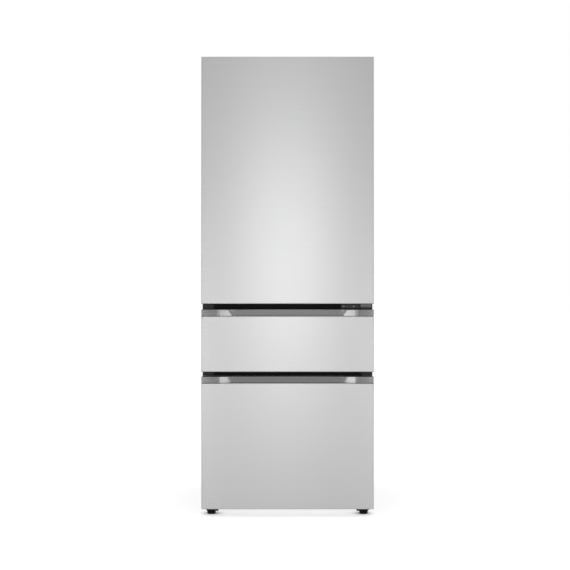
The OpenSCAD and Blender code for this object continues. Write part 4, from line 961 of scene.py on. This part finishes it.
# %% [markdown]
# ## Floor and backdrop
# The photograph is a cut-out on pure white. More light on the scene would make the floor
# white too, but would bleach the object. So the floor and the world show white to the camera
# and to reflections through their own materials. The floor darkens where the object keeps the
# light off it: real shadow in its diffuse part, and painted contact shade in its glow, which
# ambient occlusion darkens within a few centimetres of the object.

# %% Floor
FLOOR_HALF = 30.0
FLOOR_GREY = 0.75
FLOOR_GLOW = 0.66
# how far from the object the painted contact shade in the floor's glow reaches
PAINTED_SHADE_REACH = 0.03


def seen_as_background(owner):
    """1 for camera, glossy and transmission rays: what looks at the background sees white."""
    path = add_node(owner, "ShaderNodeLightPath")
    seen = path.outputs["Is Camera Ray"]
    for ray in ("Is Glossy Ray", "Is Transmission Ray"):
        either = add_node(owner, "ShaderNodeMath", operation="MAXIMUM")
        join(owner, seen, either.inputs[0])
        join(owner, path.outputs[ray], either.inputs[1])
        seen = either.outputs[0]
    return seen


floor_mesh = bpy.data.meshes.new("floor")
floor_corners = [(-FLOOR_HALF, -FLOOR_HALF, 0), (FLOOR_HALF, -FLOOR_HALF, 0),
                 (FLOOR_HALF, FLOOR_HALF, 0), (-FLOOR_HALF, FLOOR_HALF, 0)]
floor_mesh.from_pydata(floor_corners, [], [(0, 1, 2, 3)])
floor = bpy.data.objects.new("floor", floor_mesh)
bpy.context.scene.collection.objects.link(floor)
print("floor from", -FLOOR_HALF, "to", FLOOR_HALF, "m")

# %% Floor material
floor_white = bpy.data.materials.new("floor_white")
floor_white.use_nodes = True
floor_white.node_tree.nodes.clear()
diffuse = set_inputs(add_node(floor_white, "ShaderNodeBsdfDiffuse"),
                     Color=(FLOOR_GREY, FLOOR_GREY, FLOOR_GREY, 1))
glow = set_inputs(add_node(floor_white, "ShaderNodeEmission"), Strength=FLOOR_GLOW)
# painted contact shade: ambient occlusion darkens the colour of the floor's white glow near the
# object
painted_contact_shade = set_inputs(add_node(floor_white, "ShaderNodeAmbientOcclusion"), Distance=PAINTED_SHADE_REACH)
mix = add_node(floor_white, "ShaderNodeMixShader")
both = add_node(floor_white, "ShaderNodeAddShader")
output = add_node(floor_white, "ShaderNodeOutputMaterial")
join(floor_white, painted_contact_shade.outputs["Color"], glow.inputs["Color"])
join(floor_white, diffuse.outputs[0], both.inputs[0])
join(floor_white, glow.outputs[0], both.inputs[1])
join(floor_white, seen_as_background(floor_white), mix.inputs["Fac"])
join(floor_white, diffuse.outputs[0], mix.inputs[1])
join(floor_white, both.outputs[0], mix.inputs[2])
join(floor_white, mix.outputs[0], output.inputs["Surface"])
floor_mesh.materials.append(floor_white)
print("nodes in the floor's material:", len(floor_white.node_tree.nodes))

# %% World
ROOM_LIGHT = 0.55
world = bpy.data.worlds.new("studio")
bpy.context.scene.world = world
world.use_nodes = True
sky = set_inputs(world.node_tree.nodes["Background"], Color=(1, 1, 1, 1))
tone = set_inputs(add_node(world, "ShaderNodeMapRange"), To_Min=ROOM_LIGHT, To_Max=1.0)
join(world, seen_as_background(world), tone.inputs["Value"])
join(world, tone.outputs["Result"], sky.inputs["Strength"])
print("light of the room:", ROOM_LIGHT)

# %% [markdown]
# ## Lamps
# A studio lights such a front with large soft boxes. A tall soft lamp stands behind the
# camera, because the skins are brightest at its height. Two lower ones stand a metre to its
# left and right, where only the curved ends of the grips mirror them, and a wide one hangs
# above. Small hard lamps would show as hot spots on brushed steel.

# %% Lamps
def soft_lamp(name, place, target, width, height, watts):
    """A rectangular lamp at place that faces target: tilted up from straight down, then turned."""
    data = bpy.data.lights.new(name, "AREA")
    data.shape = "RECTANGLE"
    data.size = width
    data.size_y = height
    data.energy = watts
    lamp = bpy.data.objects.new(name, data)
    bpy.context.scene.collection.objects.link(lamp)
    place, target = np.asarray(place, float), np.asarray(target, float)
    ahead = target - place
    flat = math.hypot(ahead[0], ahead[1])
    lamp.location = place
    lamp.rotation_euler = (math.atan2(flat, -ahead[2]), 0, math.atan2(-ahead[0], ahead[1]))
    print(name, "at", place.tolist(), "with", watts, "W")


soft_lamp("front_lamp", place=(0, -5.2, 1.05), target=(0, FRONT_Y, 0.97),
          width=0.7, height=1.5, watts=12.9)
soft_lamp("left_lamp", place=(-1.1, -4.5, 0.4), target=(0, FRONT_Y, 0.8),
          width=0.8, height=0.75, watts=9.4)
soft_lamp("right_lamp", place=(1.1, -4.5, 0.4), target=(0, FRONT_Y, 0.8),
          width=0.8, height=0.75, watts=7.7)
soft_lamp("top_lamp", place=(0, -0.5, 4.2), target=(0, 0, 1.0),
          width=2.5, height=2.5, watts=25)
